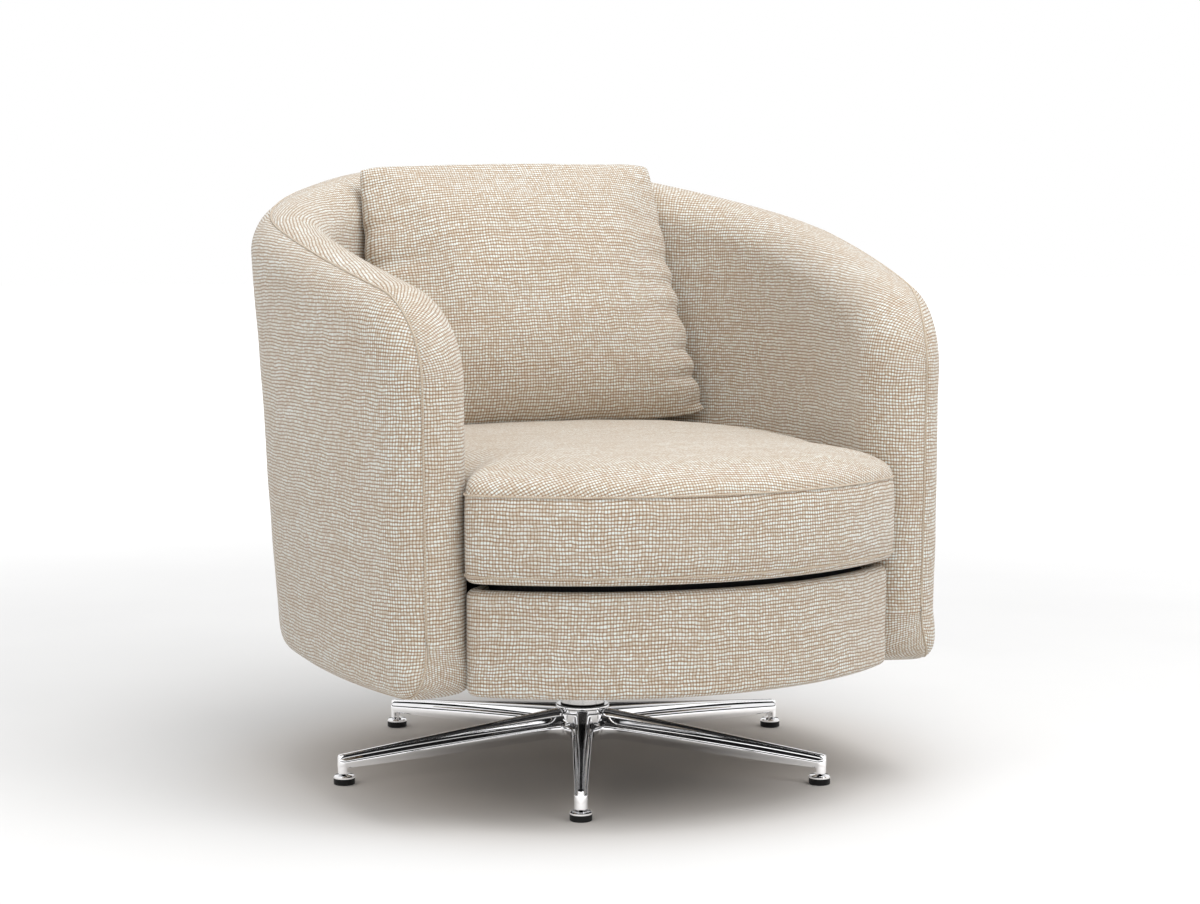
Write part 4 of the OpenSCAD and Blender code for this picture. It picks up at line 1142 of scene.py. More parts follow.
@dataclass
class StarBase:
    """The chrome five-leg base: a hub with its ring, and legs with a crown, two beads and grooves.

    Lengths named root and tip hold at the hub and at the end of a leg.
    """

    radius: float = 0.330
    turn: float = math.radians(-23.5)
    spacing: float = math.radians(64.0)
    root_width: float = 0.029
    tip_width: float = 0.0166
    root_top: float = 0.070
    tip_top: float = 0.038
    root_bottom: float = 0.034
    tip_bottom: float = 0.021
    start: float = 0.030
    start_half: float = 0.0175
    fillet_end: float = 0.060
    fillet_radius: float = 0.021
    sag_power: float = 1.25
    crown_root: float = 0.0096
    crown_tip: float = 0.0026
    crown_rise: float = 0.0082
    crown_power: float = 1.5
    crown_narrowing: float = 1.6
    crown_bow: int = 6
    crown_lip: int = 12
    bead_width: float = 0.0017
    bead_height: float = 0.0008
    ledge_round: float = 0.0018
    shoulder_height: float = 0.006
    groove_root: float = 0.009
    groove_tip: float = 0.005
    groove_bow: int = 5
    edge_radius: float = 0.003
    tip_round: float = 0.003
    lip_low: float = 0.0134
    lip_hollow: float = 0.0046
    hub_bottom: float = 0.030
    hub_foot: float = 0.031
    hub_radius: float = 0.036
    neck_radius: float = 0.031
    neck_height: float = 0.0035
    ring_height: float = 0.005
    ring_radius: float = 0.035
    ring_round: float = 0.0016
    top: float = 0.074
    recess: float = 0.024
    recess_depth: float = 0.012
    bore: float = 0.0141
    pocket: float = 0.023
    pocket_depth: float = 0.0065
    glide_width: float = 0.0266
    lip_open: float = 0.0012
    stem_hole: float = 0.0033
    stem_top: float = 0.033
    hub_shoulder: float = 0.002
    overlap: float = 0.01
    lip_clear: float = 0.0003
    roof_clear: float = 0.0002

    def leg_plan(self) -> tuple[Array, Array, Array, Array]:
        """Distances s from the axis, their share t of the way, the half width, and the end's closing.

        The half width shrinks evenly from root to tip, flares by a quarter circle at the hub and ends
        in a half circle. The closing is 1 along the leg and falls to 0 at its very end.
        """
        half_tip = self.tip_width / 2
        turn = np.linspace(math.radians(20), math.pi / 2, 12)
        flare = self.fillet_end - self.fillet_radius * np.cos(turn)
        bend = self.radius + half_tip * np.sin(np.linspace(0, math.pi / 2, 18))
        s = np.concatenate([[self.start], flare, np.linspace(self.fillet_end, self.radius, 60)[1:-1],
                            bend])[:, None]
        t = np.clip((s - self.start) / (self.radius - self.start), 0, 1)
        width = (self.root_width + (self.tip_width - self.root_width) * t) / 2
        into = np.clip(self.fillet_end - s, 0, self.fillet_radius * 0.999)
        width = width + self.fillet_radius - np.sqrt(self.fillet_radius ** 2 - into ** 2)
        width = np.where(s <= self.start, self.start_half, width)
        close = np.sqrt(np.maximum(0, 1 - np.clip((s - self.radius) / half_tip, 0, 1) ** 2))
        boss = np.sqrt(np.maximum(0, 1 - ((s - self.radius) / half_tip) ** 2)) * half_tip
        return s, t, np.maximum(width * close, boss), close

    def leg(self) -> Patch:
        """A leg along +X as sections at the distances of its plan.

        The top falls evenly. Across it lie a crown whose rise fades with (1 - t)^power, a bead on each
        side, a groove outside the bead, a ledge and rounded lower edges. Where a leg is narrow, each
        of them takes at most a share of its width.
        """
        s, t, width, close = self.leg_plan()
        top = self.tip_top + (self.root_top - self.tip_top) * (1 - t) - self.tip_round * (1 - close)
        low = self.tip_bottom + (self.root_bottom - self.tip_bottom) * (1 - t) ** self.sag_power
        crown = self.crown_tip + (self.crown_root - self.crown_tip) * (1 - t) ** self.crown_narrowing
        crown = np.minimum(crown, width * 0.62)
        fall = self.crown_rise * (1 - t) ** self.crown_power
        drop = np.minimum(self.groove_root + (self.groove_tip - self.groove_root) * t, width)
        bead = np.minimum(self.bead_width, width / 5)
        dip = self.bead_height * close
        edge = np.minimum(self.edge_radius, width * 0.33)
        ease = np.minimum(self.ledge_round, width * 0.2)
        ridge, rest = top - fall, width - crown - bead - ease
        side = [(crown * k, top - fall * k ** self.crown_bow - dip * k ** self.crown_lip)
                for k in np.linspace(0, 1, 12)[1:]]
        side += [(crown + bead * (1 - math.cos(k)) / 2, ridge - dip * (1 - math.sin(k)))
                 for k in np.linspace(0, math.pi, 9)[1:-1]]
        side += [(crown + bead + rest * k, ridge - dip - drop * (1 - (1 - k) ** self.groove_bow))
                 for k in np.linspace(0, 1, 10) ** 1.5]
        ledge = ridge - dip - drop
        shoulder = np.minimum(self.shoulder_height, (ledge - low) * 0.45)
        side += [(width - ease * (1 - math.sin(k)), ledge - shoulder * (1 - math.cos(k)))
                 for k in np.linspace(0, math.pi / 2, 10)[1:]]
        tall = (ledge - shoulder - low) * 0.8
        side += [(width - edge * (1 - np.cos(k)), low + tall * (1 - np.sin(k)))
                 for k in np.linspace(0, math.pi / 2, 12)]
        right = np.stack([np.stack([y, z], axis=-1)[:, 0] for y, z in side], axis=1)
        first, last = (np.stack([np.zeros_like(z), z], axis=-1) for z in (top, low))
        left = right[:, ::-1] * np.array([-1, 1])
        section = np.concatenate([first, right, last, left, first], axis=1)
        x = np.broadcast_to(s[:, :, None], section.shape[:2] + (1,))
        return Patch(np.concatenate([x, section], axis=2), section.copy())

    def hub(self) -> Patch:
        """The hub as a turned profile, with the neck below its ring."""
        ring_low = self.top - self.ring_height
        neck_low = ring_low - self.neck_height
        r, k = self.ring_radius, self.ring_round
        a = np.linspace(0, math.pi / 2, 7)
        lower = list(zip(r - k + k * np.sin(a), ring_low + k - k * np.cos(a)))
        upper = list(zip(r - k + k * np.cos(a), self.top - k + k * np.sin(a)))
        b = self.hub_shoulder
        shoulder = list(zip(self.hub_radius - b + b * np.sin(a), neck_low - b + b * np.cos(a)))
        profile = [(AXIS, self.hub_bottom), (self.hub_foot - 0.0015, self.hub_bottom),
                   (self.hub_foot, self.hub_bottom + 0.0012), (self.hub_radius, self.root_bottom)]
        profile += shoulder[::-1] + [(self.neck_radius, neck_low), (self.neck_radius, ring_low)]
        return turned(profile + lower + upper + [(AXIS, self.top)], 128)

    def form(self, patch: Patch, name: str) -> Piece:
        """A closed form from one patch, its ends filled."""
        return sew(name, [patch], merge=1e-6, caps=True)

    def build(self, chrome: Material) -> Piece:
        """Unites the hub, the legs and their lips, and cuts the sockets, the leg over glide 1 first."""
        parts, cuts = [self.form(self.hub(), "hub")], []
        lip_r, lip_top = self.tip_width / 2 - self.lip_clear, self.tip_bottom + self.edge_radius
        lip = [(AXIS, self.lip_low), (lip_r - 0.0006, self.lip_low), (lip_r, self.lip_low + 0.0006),
               (lip_r, lip_top), (AXIS, lip_top)]
        roof = self.tip_bottom - self.roof_clear
        hollow = [(AXIS, 0.0), (self.lip_hollow, 0.0), (self.lip_hollow, roof), (self.stem_hole, roof),
                  (self.stem_hole, self.stem_top), (AXIS, self.stem_top)]
        w = self.glide_width
        for k in (0, -1, 1, -2, 2):
            place = Matrix.Rotation(self.turn + k * self.spacing - math.pi / 2, 4, "Z")
            tip = place @ Matrix.Translation((self.radius, 0.0, 0.0))
            parts.append(self.form(moved(self.leg(), place), "leg"))
            parts.append(self.form(moved(turned(lip, 48), tip), "lip"))
            cuts.append(self.form(moved(turned(hollow, 40), tip), "hollow"))
            cuts.append(block("open", (-w - self.lip_open, -w / 2, 0.0),
                              (-self.lip_open, w / 2, roof), tip))
        under, over = self.hub_bottom - self.overlap, self.top + self.overlap
        seat, ledge = self.hub_bottom + self.recess_depth, self.top - self.pocket_depth
        bores = [(AXIS, under), (self.recess, under), (self.recess, seat), (self.bore, seat),
                 (self.bore, ledge), (self.pocket, ledge), (self.pocket, over), (AXIS, over)]
        cuts.append(self.form(turned(bores, 96), "bore"))
        piece = joined("star_base_chrome", parts, cuts)
        even = piece.modifiers.new("even", "WEIGHTED_NORMAL")
        even.keep_sharp = True
        piece.data.materials.clear()
        piece.data.materials.append(chrome)
        return piece


@dataclass
class Column:
    """The satin sleeve over the swivel tube."""

    radius: float = 0.029
    wall: float = 0.003
    low: float = 0.07552
    high: float = 0.160
    ease: float = 0.0006

    def build(self, satin: Material) -> Piece:
        """Makes the sleeve as a turned tube with eased rims."""
        r, i, e = self.radius, self.radius - self.wall, self.ease
        loop = [(i + e, self.low), (r - e, self.low), (r, self.low + e), (r, self.high - e),
                (r - e, self.high), (i + e, self.high), (i, self.high - e), (i, self.low + e),
                (i + e, self.low)]
        piece = sew("column_sleeve_satin", [turned(loop, 128)], satin)
        piece.data.set_sharp_from_angle(angle=math.radians(40))
        return piece


@dataclass
class SeatInside:
    """What shows under the loose cushion and from below: the webbed deck and the dust cover."""

    wall: BarrelWall
    skirt: Skirt
    nose_margin: float = 0.006
    board_low: float = 0.164
    deck_low: float = 0.2663
    deck_high: float = 0.2887
    deck_inset: float = 0.0015
    front_inset: float = 0.007
    cover_thickness: float = 0.0008
    cover_gap: float = 0.0002
    cover_inset: float = 0.005
    plate_side: float = 0.190
    step_gap: float = 0.0015
    skirt_gap: float = 0.0008
    deck_edge: float = 0.005
    deck_crown: float = 0.0006
    deck_clear: float = 0.0008
    pad_middle: Pair = (0.0, 0.02)
    cover_sag: float = 0.0012
    cover_fold: float = 0.0004
    hole_margin: float = 0.001

    def outline(self, inset: float, front: float) -> Array:
        """Closed outline inside the wall, stepped in beside the skirt's returns."""
        wall, skirt = self.wall, self.skirt
        line, _ = skirt.stations()
        tail = line[-1]
        inner = tail - SeatCushion.ahead(np.array(skirt.return_turn)) * skirt.thickness
        step_x = inner[0] - self.step_gap - inset
        end = wall.end - self.nose_margin - inset
        u = np.linspace(0, end, 70)
        side = wall.point(u, np.full_like(u, self.board_low), np.full_like(u, -wall.half - inset))[:, :2]
        centre = np.array([0.0, skirt.radius + skirt.setback - wall.depth / 2])
        arc = centre + front * SeatCushion.ahead(np.linspace(math.asin(step_x / front), 0, 40))
        half = np.concatenate([side, [[step_x, side[-1, 1]]], arc])
        return np.concatenate([half, half[-2:0:-1] * np.array([-1, 1])])

    def deck(self, cloth: Material) -> Piece:
        """The black deck pad over the webbing: a flat bottom, rounded edges and a slightly raised top.

        Its rings are the outline, moved towards a place in its middle by a growing share.
        """
        front = self.skirt.radius - self.skirt.thickness - self.front_inset
        outline = self.outline(self.deck_inset, front)
        low, high, edge = self.deck_low, self.deck_high - self.deck_clear, self.deck_edge
        a = np.linspace(0, math.pi / 2, 6)
        reach = np.abs(outline).max()
        rings = [(k, low) for k in np.linspace(0, 1 - edge / reach, 14)[:-1]]
        rings += [(1 - edge * (1 - np.sin(k)) / reach, low + edge * (1 - np.cos(k))) for k in a]
        rings += [(1 - edge * (1 - np.cos(k)) / reach, high - edge + edge * np.sin(k)) for k in a]
        rings += [(k, high + self.deck_crown * (1 - k * k))
                  for k in np.linspace(1 - edge / reach, 0.0, 26)[1:]]
        share, height = np.array(rings).T[:, :, None]
        middle = np.array(self.pad_middle)
        points = close_columns(lifted(middle + (outline - middle)[None] * share[..., None], height))
        return sew("deck_pad_cloth", [Patch(points, points[..., :2].copy())], cloth, merge=1e-6)

    def dust_cover(self, cloth: Material) -> Piece:
        """The stretched cloth under the seat, with the square hole round the plate.

        Each ring lies between the outline and the hole's edge, at the same turn about the axis.
        """
        front = self.skirt.radius - self.skirt.thickness - self.skirt_gap - self.cover_inset
        line = self.outline(self.cover_inset, front)
        outer = resampled(np.concatenate([line, line[:1]]), 241)[:-1]
        turn = np.arctan2(outer[:, 1], outer[:, 0])
        half = self.plate_side / 2 + self.hole_margin
        reach = half / np.maximum(np.abs(np.cos(turn)), np.abs(np.sin(turn)))
        hole = np.stack([np.cos(turn), np.sin(turn)], axis=1) * reach[:, None]
        t = np.linspace(0, 1, 24)[:, None]
        flat = outer[None] * (1 - t[..., None]) + hole[None] * t[..., None]
        sag = -self.cover_sag * np.sin(np.pi * t) ** 2 * (0.6 + 0.4 * swell(flat, 0.12, 9))
        fold = self.cover_fold * np.sin(turn * 90)[None] * np.exp(-t * 14)
        low = self.board_low - self.cover_gap - self.cover_thickness + sag + fold - self.cover_fold
        top, under = lifted(flat, low + self.cover_thickness), lifted(flat, low)
        faces = [(top, flat), (under, flat)]
        faces += [(np.stack([top[k], under[k]]), np.stack([flat[k], flat[k]])) for k in (0, -1)]
        sheet = [Patch(close_columns(points), close_columns(cloth)) for points, cloth in faces]
        return sew("dust_cover_cloth", sheet, cloth, merge=1e-6)


# Finishes


def grey(level: float) -> Colour:
    """A grey colour."""
    return (level, level, level, 1.0)


class Nodes:
    """Adds nodes to a tree, with their inputs given as values or as other nodes' outputs."""

    def __init__(self, tree: Tree) -> None:
        """Starts on a tree."""
        self.tree = tree

    def feed(self, node: bpy.types.Node, inputs: dict) -> None:
        """Gives a node its inputs: values or sockets, by input name or number."""
        for key, value in inputs.items():
            if isinstance(value, Socket):
                self.tree.links.new(value, node.inputs[key])
            else:
                node.inputs[key].default_value = value

    def add(self, kind: str, inputs: dict | None = None, **settings: object) -> bpy.types.Node:
        """Adds one node.

        Args:
            kind: The node's type, without the ShaderNode in front.
            inputs: Values or sockets by input name or number.
            settings: The node's own properties.

        Returns:
            The node.
        """
        node = self.tree.nodes.new(kind if kind.startswith("Node") else "ShaderNode" + kind)
        for name, value in settings.items():
            setattr(node, name, value)
        self.feed(node, inputs or {})
        return node

    def math(self, operation: str, *values: object) -> Socket:
        """The result of a Math node."""
        return self.add("Math", dict(enumerate(values)), operation=operation).outputs[0]

    def vector(self, operation: str, *values: object) -> Socket:
        """The result of a Vector Math node."""
        return self.add("VectorMath", dict(enumerate(values)), operation=operation).outputs[0]

    def split(self, where: Socket) -> bpy.types.bpy_prop_collection:
        """The X, Y and Z of a vector."""
        return self.add("SeparateXYZ", {0: where}).outputs

    def combined(self, *values: object) -> Socket:
        """A vector of up to three values, the rest 0."""
        return self.add("CombineXYZ", dict(enumerate(values))).outputs[0]

    def blend(self, share: object, first: object, second: object, kind: str = "MIX") -> Socket:
        """The colour between two colours."""
        node = self.add("Mix", {0: share, 6: first, 7: second}, data_type="RGBA", blend_type=kind)
        return node.outputs[2]

    def spread(self, value: object, low: float, high: float, to_low: float = 0.0,
               to_high: float = 1.0) -> Socket:
        """A value stretched smoothly from one range to another and held inside it."""
        return self.add("MapRange", {0: value, 1: low, 2: high, 3: to_low, 4: to_high},
                        interpolation_type="SMOOTHSTEP").outputs[0]

    def noise(self, where: object, scale: object, detail: float = 2.0, rough: float = 0.5) -> Socket:
        """A Noise Texture's value."""
        return self.add("TexNoise", {"Vector": where, "Scale": scale, "Detail": detail,
                                     "Roughness": rough}).outputs["Fac"]

    def chance(self, where: Socket) -> Socket:
        """A random value from 0 to 1 for each place in plan."""
        return self.add("TexWhiteNoise", {"Vector": where}, noise_dimensions="2D").outputs["Value"]


class Group(Nodes):
    """A new shader node group with named sockets."""

    def __init__(self, name: str, inputs: dict[str, str], outputs: dict[str, str]) -> None:
        """Starts the group.

        Args:
            name: Name of the group.
            inputs: Socket kind by name.
            outputs: Socket kind by name.
        """
        super().__init__(bpy.data.node_groups.new(name, "ShaderNodeTree"))
        for way, sockets in (("INPUT", inputs), ("OUTPUT", outputs)):
            for label, kind in sockets.items():
                self.tree.interface.new_socket(label, in_out=way, socket_type="NodeSocket" + kind)
        self.given = self.add("NodeGroupInput").outputs
        self.last = self.add("NodeGroupOutput")

    def closed(self, results: dict) -> Tree:
        """Links the results to the group's outputs, and gives the group."""
        self.feed(self.last, results)
        return self.tree


@dataclass(frozen=True)
class Weave:
    """A basket weave: raised pale threads in a grid of cells, with darker lines between them.

    Cell height is (low + (1 - low)(1 - |2x - 1|^a))(1 - |2y - 1|^b), where x and y run from 0 to 1 in
    a cell, a differs from cell to cell and b from row to row. The colour goes from the line's to the
    ground's to the thread's as it rises. Slubs, which are long across and thin, widen the threads and
    make them paler. The cells wander by three sizes of noise, each with a scale and a reach.
    """

    wander: tuple[Pair, ...] = ((9.0, 0.010), (55.0, 0.0034), (210.0, 0.0009))
    slub_stretch: float = 0.085
    slub_layer: float = 3.7
    slub_from: float = 0.52
    slub_to: float = 0.72
    power_across: float = 1.3
    power_of_slub: float = 6.0
    power_up: float = 1.45
    power_up_spread: float = 0.8
    low: float = 0.16
    lift: float = 0.8
    lift_spread: float = 0.35
    patch_scale: float = 9.0
    patch_least: float = 0.72
    fibre_scale: float = 900.0
    fibre_share: float = 0.22

    def relief(self, n: Group, place: Socket) -> tuple[Socket, Socket, Socket, Socket]:
        """Height in the cells, that height with each cell's lift, the cell's chance, and its slub."""
        across, up = n.split(place)[:2]
        column = n.math("DIVIDE", across, n.given["Width"])
        row = n.math("DIVIDE", up, n.given["Height"])
        column_number, row_number = n.math("FLOOR", column), n.math("FLOOR", row)
        off_x, off_y = (n.math("ABSOLUTE", n.math("MULTIPLY_ADD", n.math("FRACT", way), 2.0, -1.0))
                        for way in (column, row))
        chance = n.chance(n.combined(column_number, row_number))
        streak = n.combined(n.math("MULTIPLY", column, self.slub_stretch), row_number, self.slub_layer)
        slub = n.spread(n.noise(streak, 1.0, 2.0, 0.6), self.slub_from, self.slub_to)
        slub = n.math("MULTIPLY", slub, n.given["Slubs"])
        breadth = n.math("MULTIPLY_ADD", slub, self.power_of_slub, self.power_across)
        breadth = n.math("MULTIPLY_ADD", chance, 1.0, breadth)
        bump_x = n.math("SUBTRACT", 1.0, n.math("POWER", off_x, breadth))
        tall = n.math("MULTIPLY_ADD", n.chance(n.combined(0.0, row_number)), self.power_up_spread,
                      self.power_up)
        bump_y = n.math("SUBTRACT", 1.0, n.math("POWER", off_y, tall))
        height = n.math("MULTIPLY", n.math("MULTIPLY_ADD", bump_x, 1 - self.low, self.low), bump_y)
        lift = n.math("MULTIPLY_ADD", chance, self.lift_spread, self.lift)
        return height, n.math("MULTIPLY", height, lift), chance, slub

    def make(self) -> Tree:
        """Builds the group."""
        n = Group("weave", {"Cloth": "Vector", "Line": "Color", "Ground": "Color", "Thread": "Color",
                            "Slub": "Color", "Width": "Float", "Height": "Float", "Slubs": "Float"},
                  {"Color": "Color", "Relief": "Float", "Roughness": "Float"})
        cloth = place = n.given["Cloth"]
        for scale, reach in self.wander:
            noise = n.add("TexNoise", {"Vector": cloth, "Scale": scale, "Detail": 1.0}).outputs["Color"]
            shift = n.add("VectorMath", {0: n.vector("SUBTRACT", noise, (0.5, 0.5, 0.5)), "Scale": reach},
                          operation="SCALE").outputs[0]
            place = n.vector("ADD", place, shift)
        height, lifted, chance, slub = self.relief(n, place)
        ground = n.blend(n.spread(height, 0.05, 0.45), n.given["Line"], n.given["Ground"])
        thread = n.blend(slub, n.given["Thread"], n.given["Slub"])
        amount = n.math("MULTIPLY", n.spread(lifted, 0.35, 0.95), n.spread(chance, 0.0, 0.7, 0.5, 1.0))
        patchy = n.spread(n.noise(cloth, self.patch_scale, 3.0, 0.6), 0.3, 0.62, self.patch_least, 1.0)
        colour = n.blend(n.math("MULTIPLY", amount, patchy), ground, thread)
        fibre = n.noise(n.vector("MULTIPLY", cloth, (1.0, 4.0, 1.0)), self.fibre_scale, 2.0)
        fibres = n.add("CombineColor", {0: fibre, 1: fibre, 2: fibre}).outputs[0]
        return n.closed({"Color": n.blend(self.fibre_share, colour, fibres, "OVERLAY"), "Relief": lifted,
                         "Roughness": n.spread(fibre, 0.3, 0.7, 0.82, 0.97)})


@dataclass(frozen=True)
class Wear:
    """Smudges and fine scratches: a mask from 0 to 1 of plain and stretched noise."""

    stretch: float = 14.0
    scratch_scale: float = 320.0
    scratch_share: float = 0.3

    def make(self) -> Tree:
        """Builds the group."""
        n = Group("wear", {"Place": "Vector", "Scale": "Float", "Amount": "Float"},
                  {"Mask": "Float", "Relief": "Float"})
        cloud = n.noise(n.given["Place"], n.given["Scale"], 4.0, 0.65)
        scratch = n.noise(n.vector("MULTIPLY", n.given["Place"], (1.0, 1.0, self.stretch)),
                          self.scratch_scale, 2.0, 0.7)
        mask = n.math("MULTIPLY", n.spread(cloud, 0.42, 0.72), n.given["Amount"])
        mask = n.math("MULTIPLY_ADD", n.spread(scratch, 0.58, 0.8), self.scratch_share, mask)
        return n.closed({"Mask": n.math("MINIMUM", mask, 1.0), "Relief": scratch})


@dataclass(frozen=True)
class Grain:
    """Plywood: long grain on the faces and glued layers on the edges, by height."""

    stretch: Triple = (30.0, 2.2, 30.0)
    lines: float = 9.0
    grain_share: float = 0.55
    layer_share: float = 0.35

    def make(self) -> Tree:
        """Builds the group."""
        n = Group("grain", {"Place": "Vector", "Pale": "Color", "Dark": "Color", "Layer": "Float"},
                  {"Color": "Color", "Relief": "Float"})
        rings = n.noise(n.vector("MULTIPLY", n.given["Place"], self.stretch), 3.0, 4.0, 0.6)
        lines = n.math("FRACT", n.math("MULTIPLY", rings, self.lines))
        pair = n.math("MULTIPLY", n.given["Layer"], 2.0)
        layer = n.math("FRACT", n.math("DIVIDE", n.split(n.given["Place"])[2], pair))
        share = n.math("MULTIPLY_ADD", n.spread(lines, 0.1, 0.9), self.grain_share,
                       n.math("MULTIPLY", n.spread(layer, 0.45, 0.55), self.layer_share))
        return n.closed({"Color": n.blend(share, n.given["Pale"], n.given["Dark"]), "Relief": lines})


@dataclass(frozen=True)
class Ribs:
    """Fine ribs in two directions, as of webbing or spun cloth, with a broken sheen."""

    cloud_scale: float = 60.0
    cloud_least: float = 0.35

    def make(self) -> Tree:
        """Builds the group."""
        n = Group("ribs", {"Place": "Vector", "Pitch": "Float", "Base": "Color", "Top": "Color"},
                  {"Color": "Color", "Relief": "Float", "Roughness": "Float"})
        turns = (n.math("DIVIDE", n.math("MULTIPLY", way, 2 * math.pi), n.given["Pitch"])
                 for way in n.split(n.given["Place"])[:2])
        waves = (n.math("SINE", turn) for turn in turns)
        relief = n.math("MULTIPLY_ADD", n.math("MULTIPLY", *waves), 0.5, 0.5)
        cloud = n.noise(n.given["Place"], self.cloud_scale, 4.0, 0.7)
        share = n.math("MULTIPLY", relief, n.spread(cloud, 0.3, 0.7, self.cloud_least, 1.0))
        return n.closed({"Color": n.blend(share, n.given["Base"], n.given["Top"]), "Relief": relief,
                         "Roughness": n.spread(cloud, 0.3, 0.7, 0.7, 0.95)})


class Effects:
    """The node groups that several finishes share, each built once."""

    def __init__(self) -> None:
        """Builds the groups."""
        self.weave = Weave().make()
        self.wear = Wear().make()
        self.grain = Grain().make()
        self.ribs = Ribs().make()


class Surface(Nodes):
    """A new material, built up to its Principled shader."""

    def __init__(self, name: str) -> None:
        """Starts the material."""
        self.material = bpy.data.materials.new(name)
        self.material.use_nodes = True
        super().__init__(self.material.node_tree)

    def place(self) -> Socket:
        """Places on the object."""
        return self.add("TexCoord").outputs["Object"]

    def group(self, tree: Tree, inputs: dict) -> bpy.types.bpy_prop_collection:
        """The outputs of a shared node group for these inputs."""
        return self.add("Group", inputs, node_tree=tree).outputs

    def finished(self, inputs: dict, height: Socket, depth: float, strength: float) -> Material:
        """Feeds the shader, with a bump as its normal.

        Args:
            inputs: The shader's inputs by name.
            height: The bump's height, from 0 to 1.
            depth: What a height of 1 is in metres.
            strength: How much of the bump shows.

        Returns:
            The material.
        """
        bump = self.add("Bump", {"Height": height, "Distance": depth, "Strength": strength})
        self.feed(self.tree.nodes["Principled BSDF"], {**inputs, "Normal": bump.outputs[0]})
        return self.material


@dataclass(frozen=True)
class WovenCover:
    """The chair's basket-woven cloth. Its cells follow the cloth map of each piece."""

    name: str
    line: Colour = (0.27, 0.165, 0.090, 1)
    ground: Colour = (0.54, 0.46, 0.365, 1)
    thread: Colour = (0.76, 0.80, 0.775, 1)
    slub: Colour = (0.78, 0.81, 0.80, 1)
    width: float = 0.0037
    height: float = 0.0041
    slubs: float = 0.35
    relief: float = 0.0006
    sheen: float = 0.25
    sheen_roughness: float = 0.5
    gloss: float = 0.2

    def make(self, effects: Effects) -> Material:
        """Builds the material."""
        n = Surface(self.name)
        weave = n.group(effects.weave, {
            "Cloth": n.add("UVMap", uv_map="cloth").outputs[0], "Line": self.line, "Ground": self.ground,
            "Thread": self.thread, "Slub": self.slub, "Width": self.width, "Height": self.height,
            "Slubs": self.slubs})
        return n.finished({"Base Color": weave["Color"], "Roughness": weave["Roughness"],
                           "Sheen Weight": self.sheen, "Sheen Roughness": self.sheen_roughness,
                           "Specular IOR Level": self.gloss}, weave["Relief"], self.relief, 0.8)


@dataclass(frozen=True)
class Metal:
    """A metal with smudges and fine scratches in its gloss, and painted shade, black above a height, if
    one is given.
    """

    name: str
    colour: Colour = (0.9, 0.9, 0.9, 1)
    low: float = 0.04
    high: float = 0.14
    scale: float = 30.0
    amount: float = 0.5
    relief: float = 0.000002
    anisotropy: float = 0.0
    dulled: float = 0.86
    # Colour of the painted shade above the height.
    paint: Colour = (0.012, 0.012, 0.012, 1)
    shade_black_above: float | None = None
    shade_black_edge: float = 0.0005

    def make(self, effects: Effects) -> Material:
        """Builds the material."""
        n = Surface(self.name)
        place = n.place()
        wear = n.group(effects.wear, {"Place": place, "Scale": self.scale, "Amount": self.amount})
        dull = tuple(c * self.dulled for c in self.colour[:3]) + (1,)
        colour, bare = n.blend(wear["Mask"], self.colour, dull), 1.0
        # Painted shade: flat black, not metal, above the height, to darken what the chrome legs mirror.
        if self.shade_black_above is not None:
            edge = (self.shade_black_above, self.shade_black_above + self.shade_black_edge)
            bare = n.spread(n.split(place)[2], *edge, 1.0, 0.0)
            colour = n.blend(bare, self.paint, colour)
        return n.finished({"Base Color": colour, "Metallic": bare, "Anisotropic": self.anisotropy,
                           "Roughness": n.spread(wear["Mask"], 0.0, 1.0, self.low, self.high)},
                          wear["Relief"], self.relief, 0.3)


@dataclass(frozen=True)
class Plastic:
    """Moulded plastic or rubber with a fine cast grain and dust."""

    name: str
    colour: Colour = (0.02, 0.02, 0.02, 1)
    dust: Colour = (0.08, 0.075, 0.07, 1)
    low: float = 0.45
    high: float = 0.75
    gloss: float = 0.5
    dust_scale: float = 55.0
    dust_amount: float = 0.6
    cast_scale: float = 1800.0
    relief: float = 0.00008

    def make(self, effects: Effects) -> Material:
        """Builds the material."""
        n = Surface(self.name)
        place = n.place()
        wear = n.group(effects.wear, {"Place": place, "Scale": self.dust_scale,
                                      "Amount": self.dust_amount})
        return n.finished({"Base Color": n.blend(wear["Mask"], self.colour, self.dust),
                           "Roughness": n.spread(wear["Mask"], 0.0, 1.0, self.low, self.high),
                           "Specular IOR Level": self.gloss},
                          n.noise(place, self.cast_scale, 2.0, 0.6), self.relief, 0.5)


@dataclass(frozen=True)
class Plywood:
    """Birch plywood with grain and glued layers."""

    name: str
    pale: Colour = (0.62, 0.44, 0.26, 1)
    dark: Colour = (0.42, 0.27, 0.14, 1)
    layer: float = 0.0015
    low: float = 0.5
    high: float = 0.75
    relief: float = 0.0002

    def make(self, effects: Effects) -> Material:
        """Builds the material."""
        n = Surface(self.name)
        grain = n.group(effects.grain, {"Place": n.place(), "Pale": self.pale, "Dark": self.dark,
                                        "Layer": self.layer})
        return n.finished({"Base Color": grain["Color"],
                           "Roughness": n.spread(grain["Relief"], 0.0, 1.0, self.low, self.high)},
                          grain["Relief"], self.relief, 0.4)


@dataclass(frozen=True)
class PlainCloth:
    """Webbing or spun black cloth, ribbed both ways."""

    name: str
    base: Colour = (0.006, 0.006, 0.007, 1)
    top: Colour = (0.035, 0.035, 0.038, 1)
    pitch: float = 0.0016
    gloss: float = 0.25
    relief: float = 0.0003

    def make(self, effects: Effects) -> Material:
        """Builds the material."""
        n = Surface(self.name)
        ribs = n.group(effects.ribs, {"Place": n.place(), "Pitch": self.pitch, "Base": self.base,
                                      "Top": self.top})
        return n.finished({"Base Color": ribs["Color"], "Roughness": ribs["Roughness"],
                           "Specular IOR Level": self.gloss}, ribs["Relief"], self.relief, 0.6)


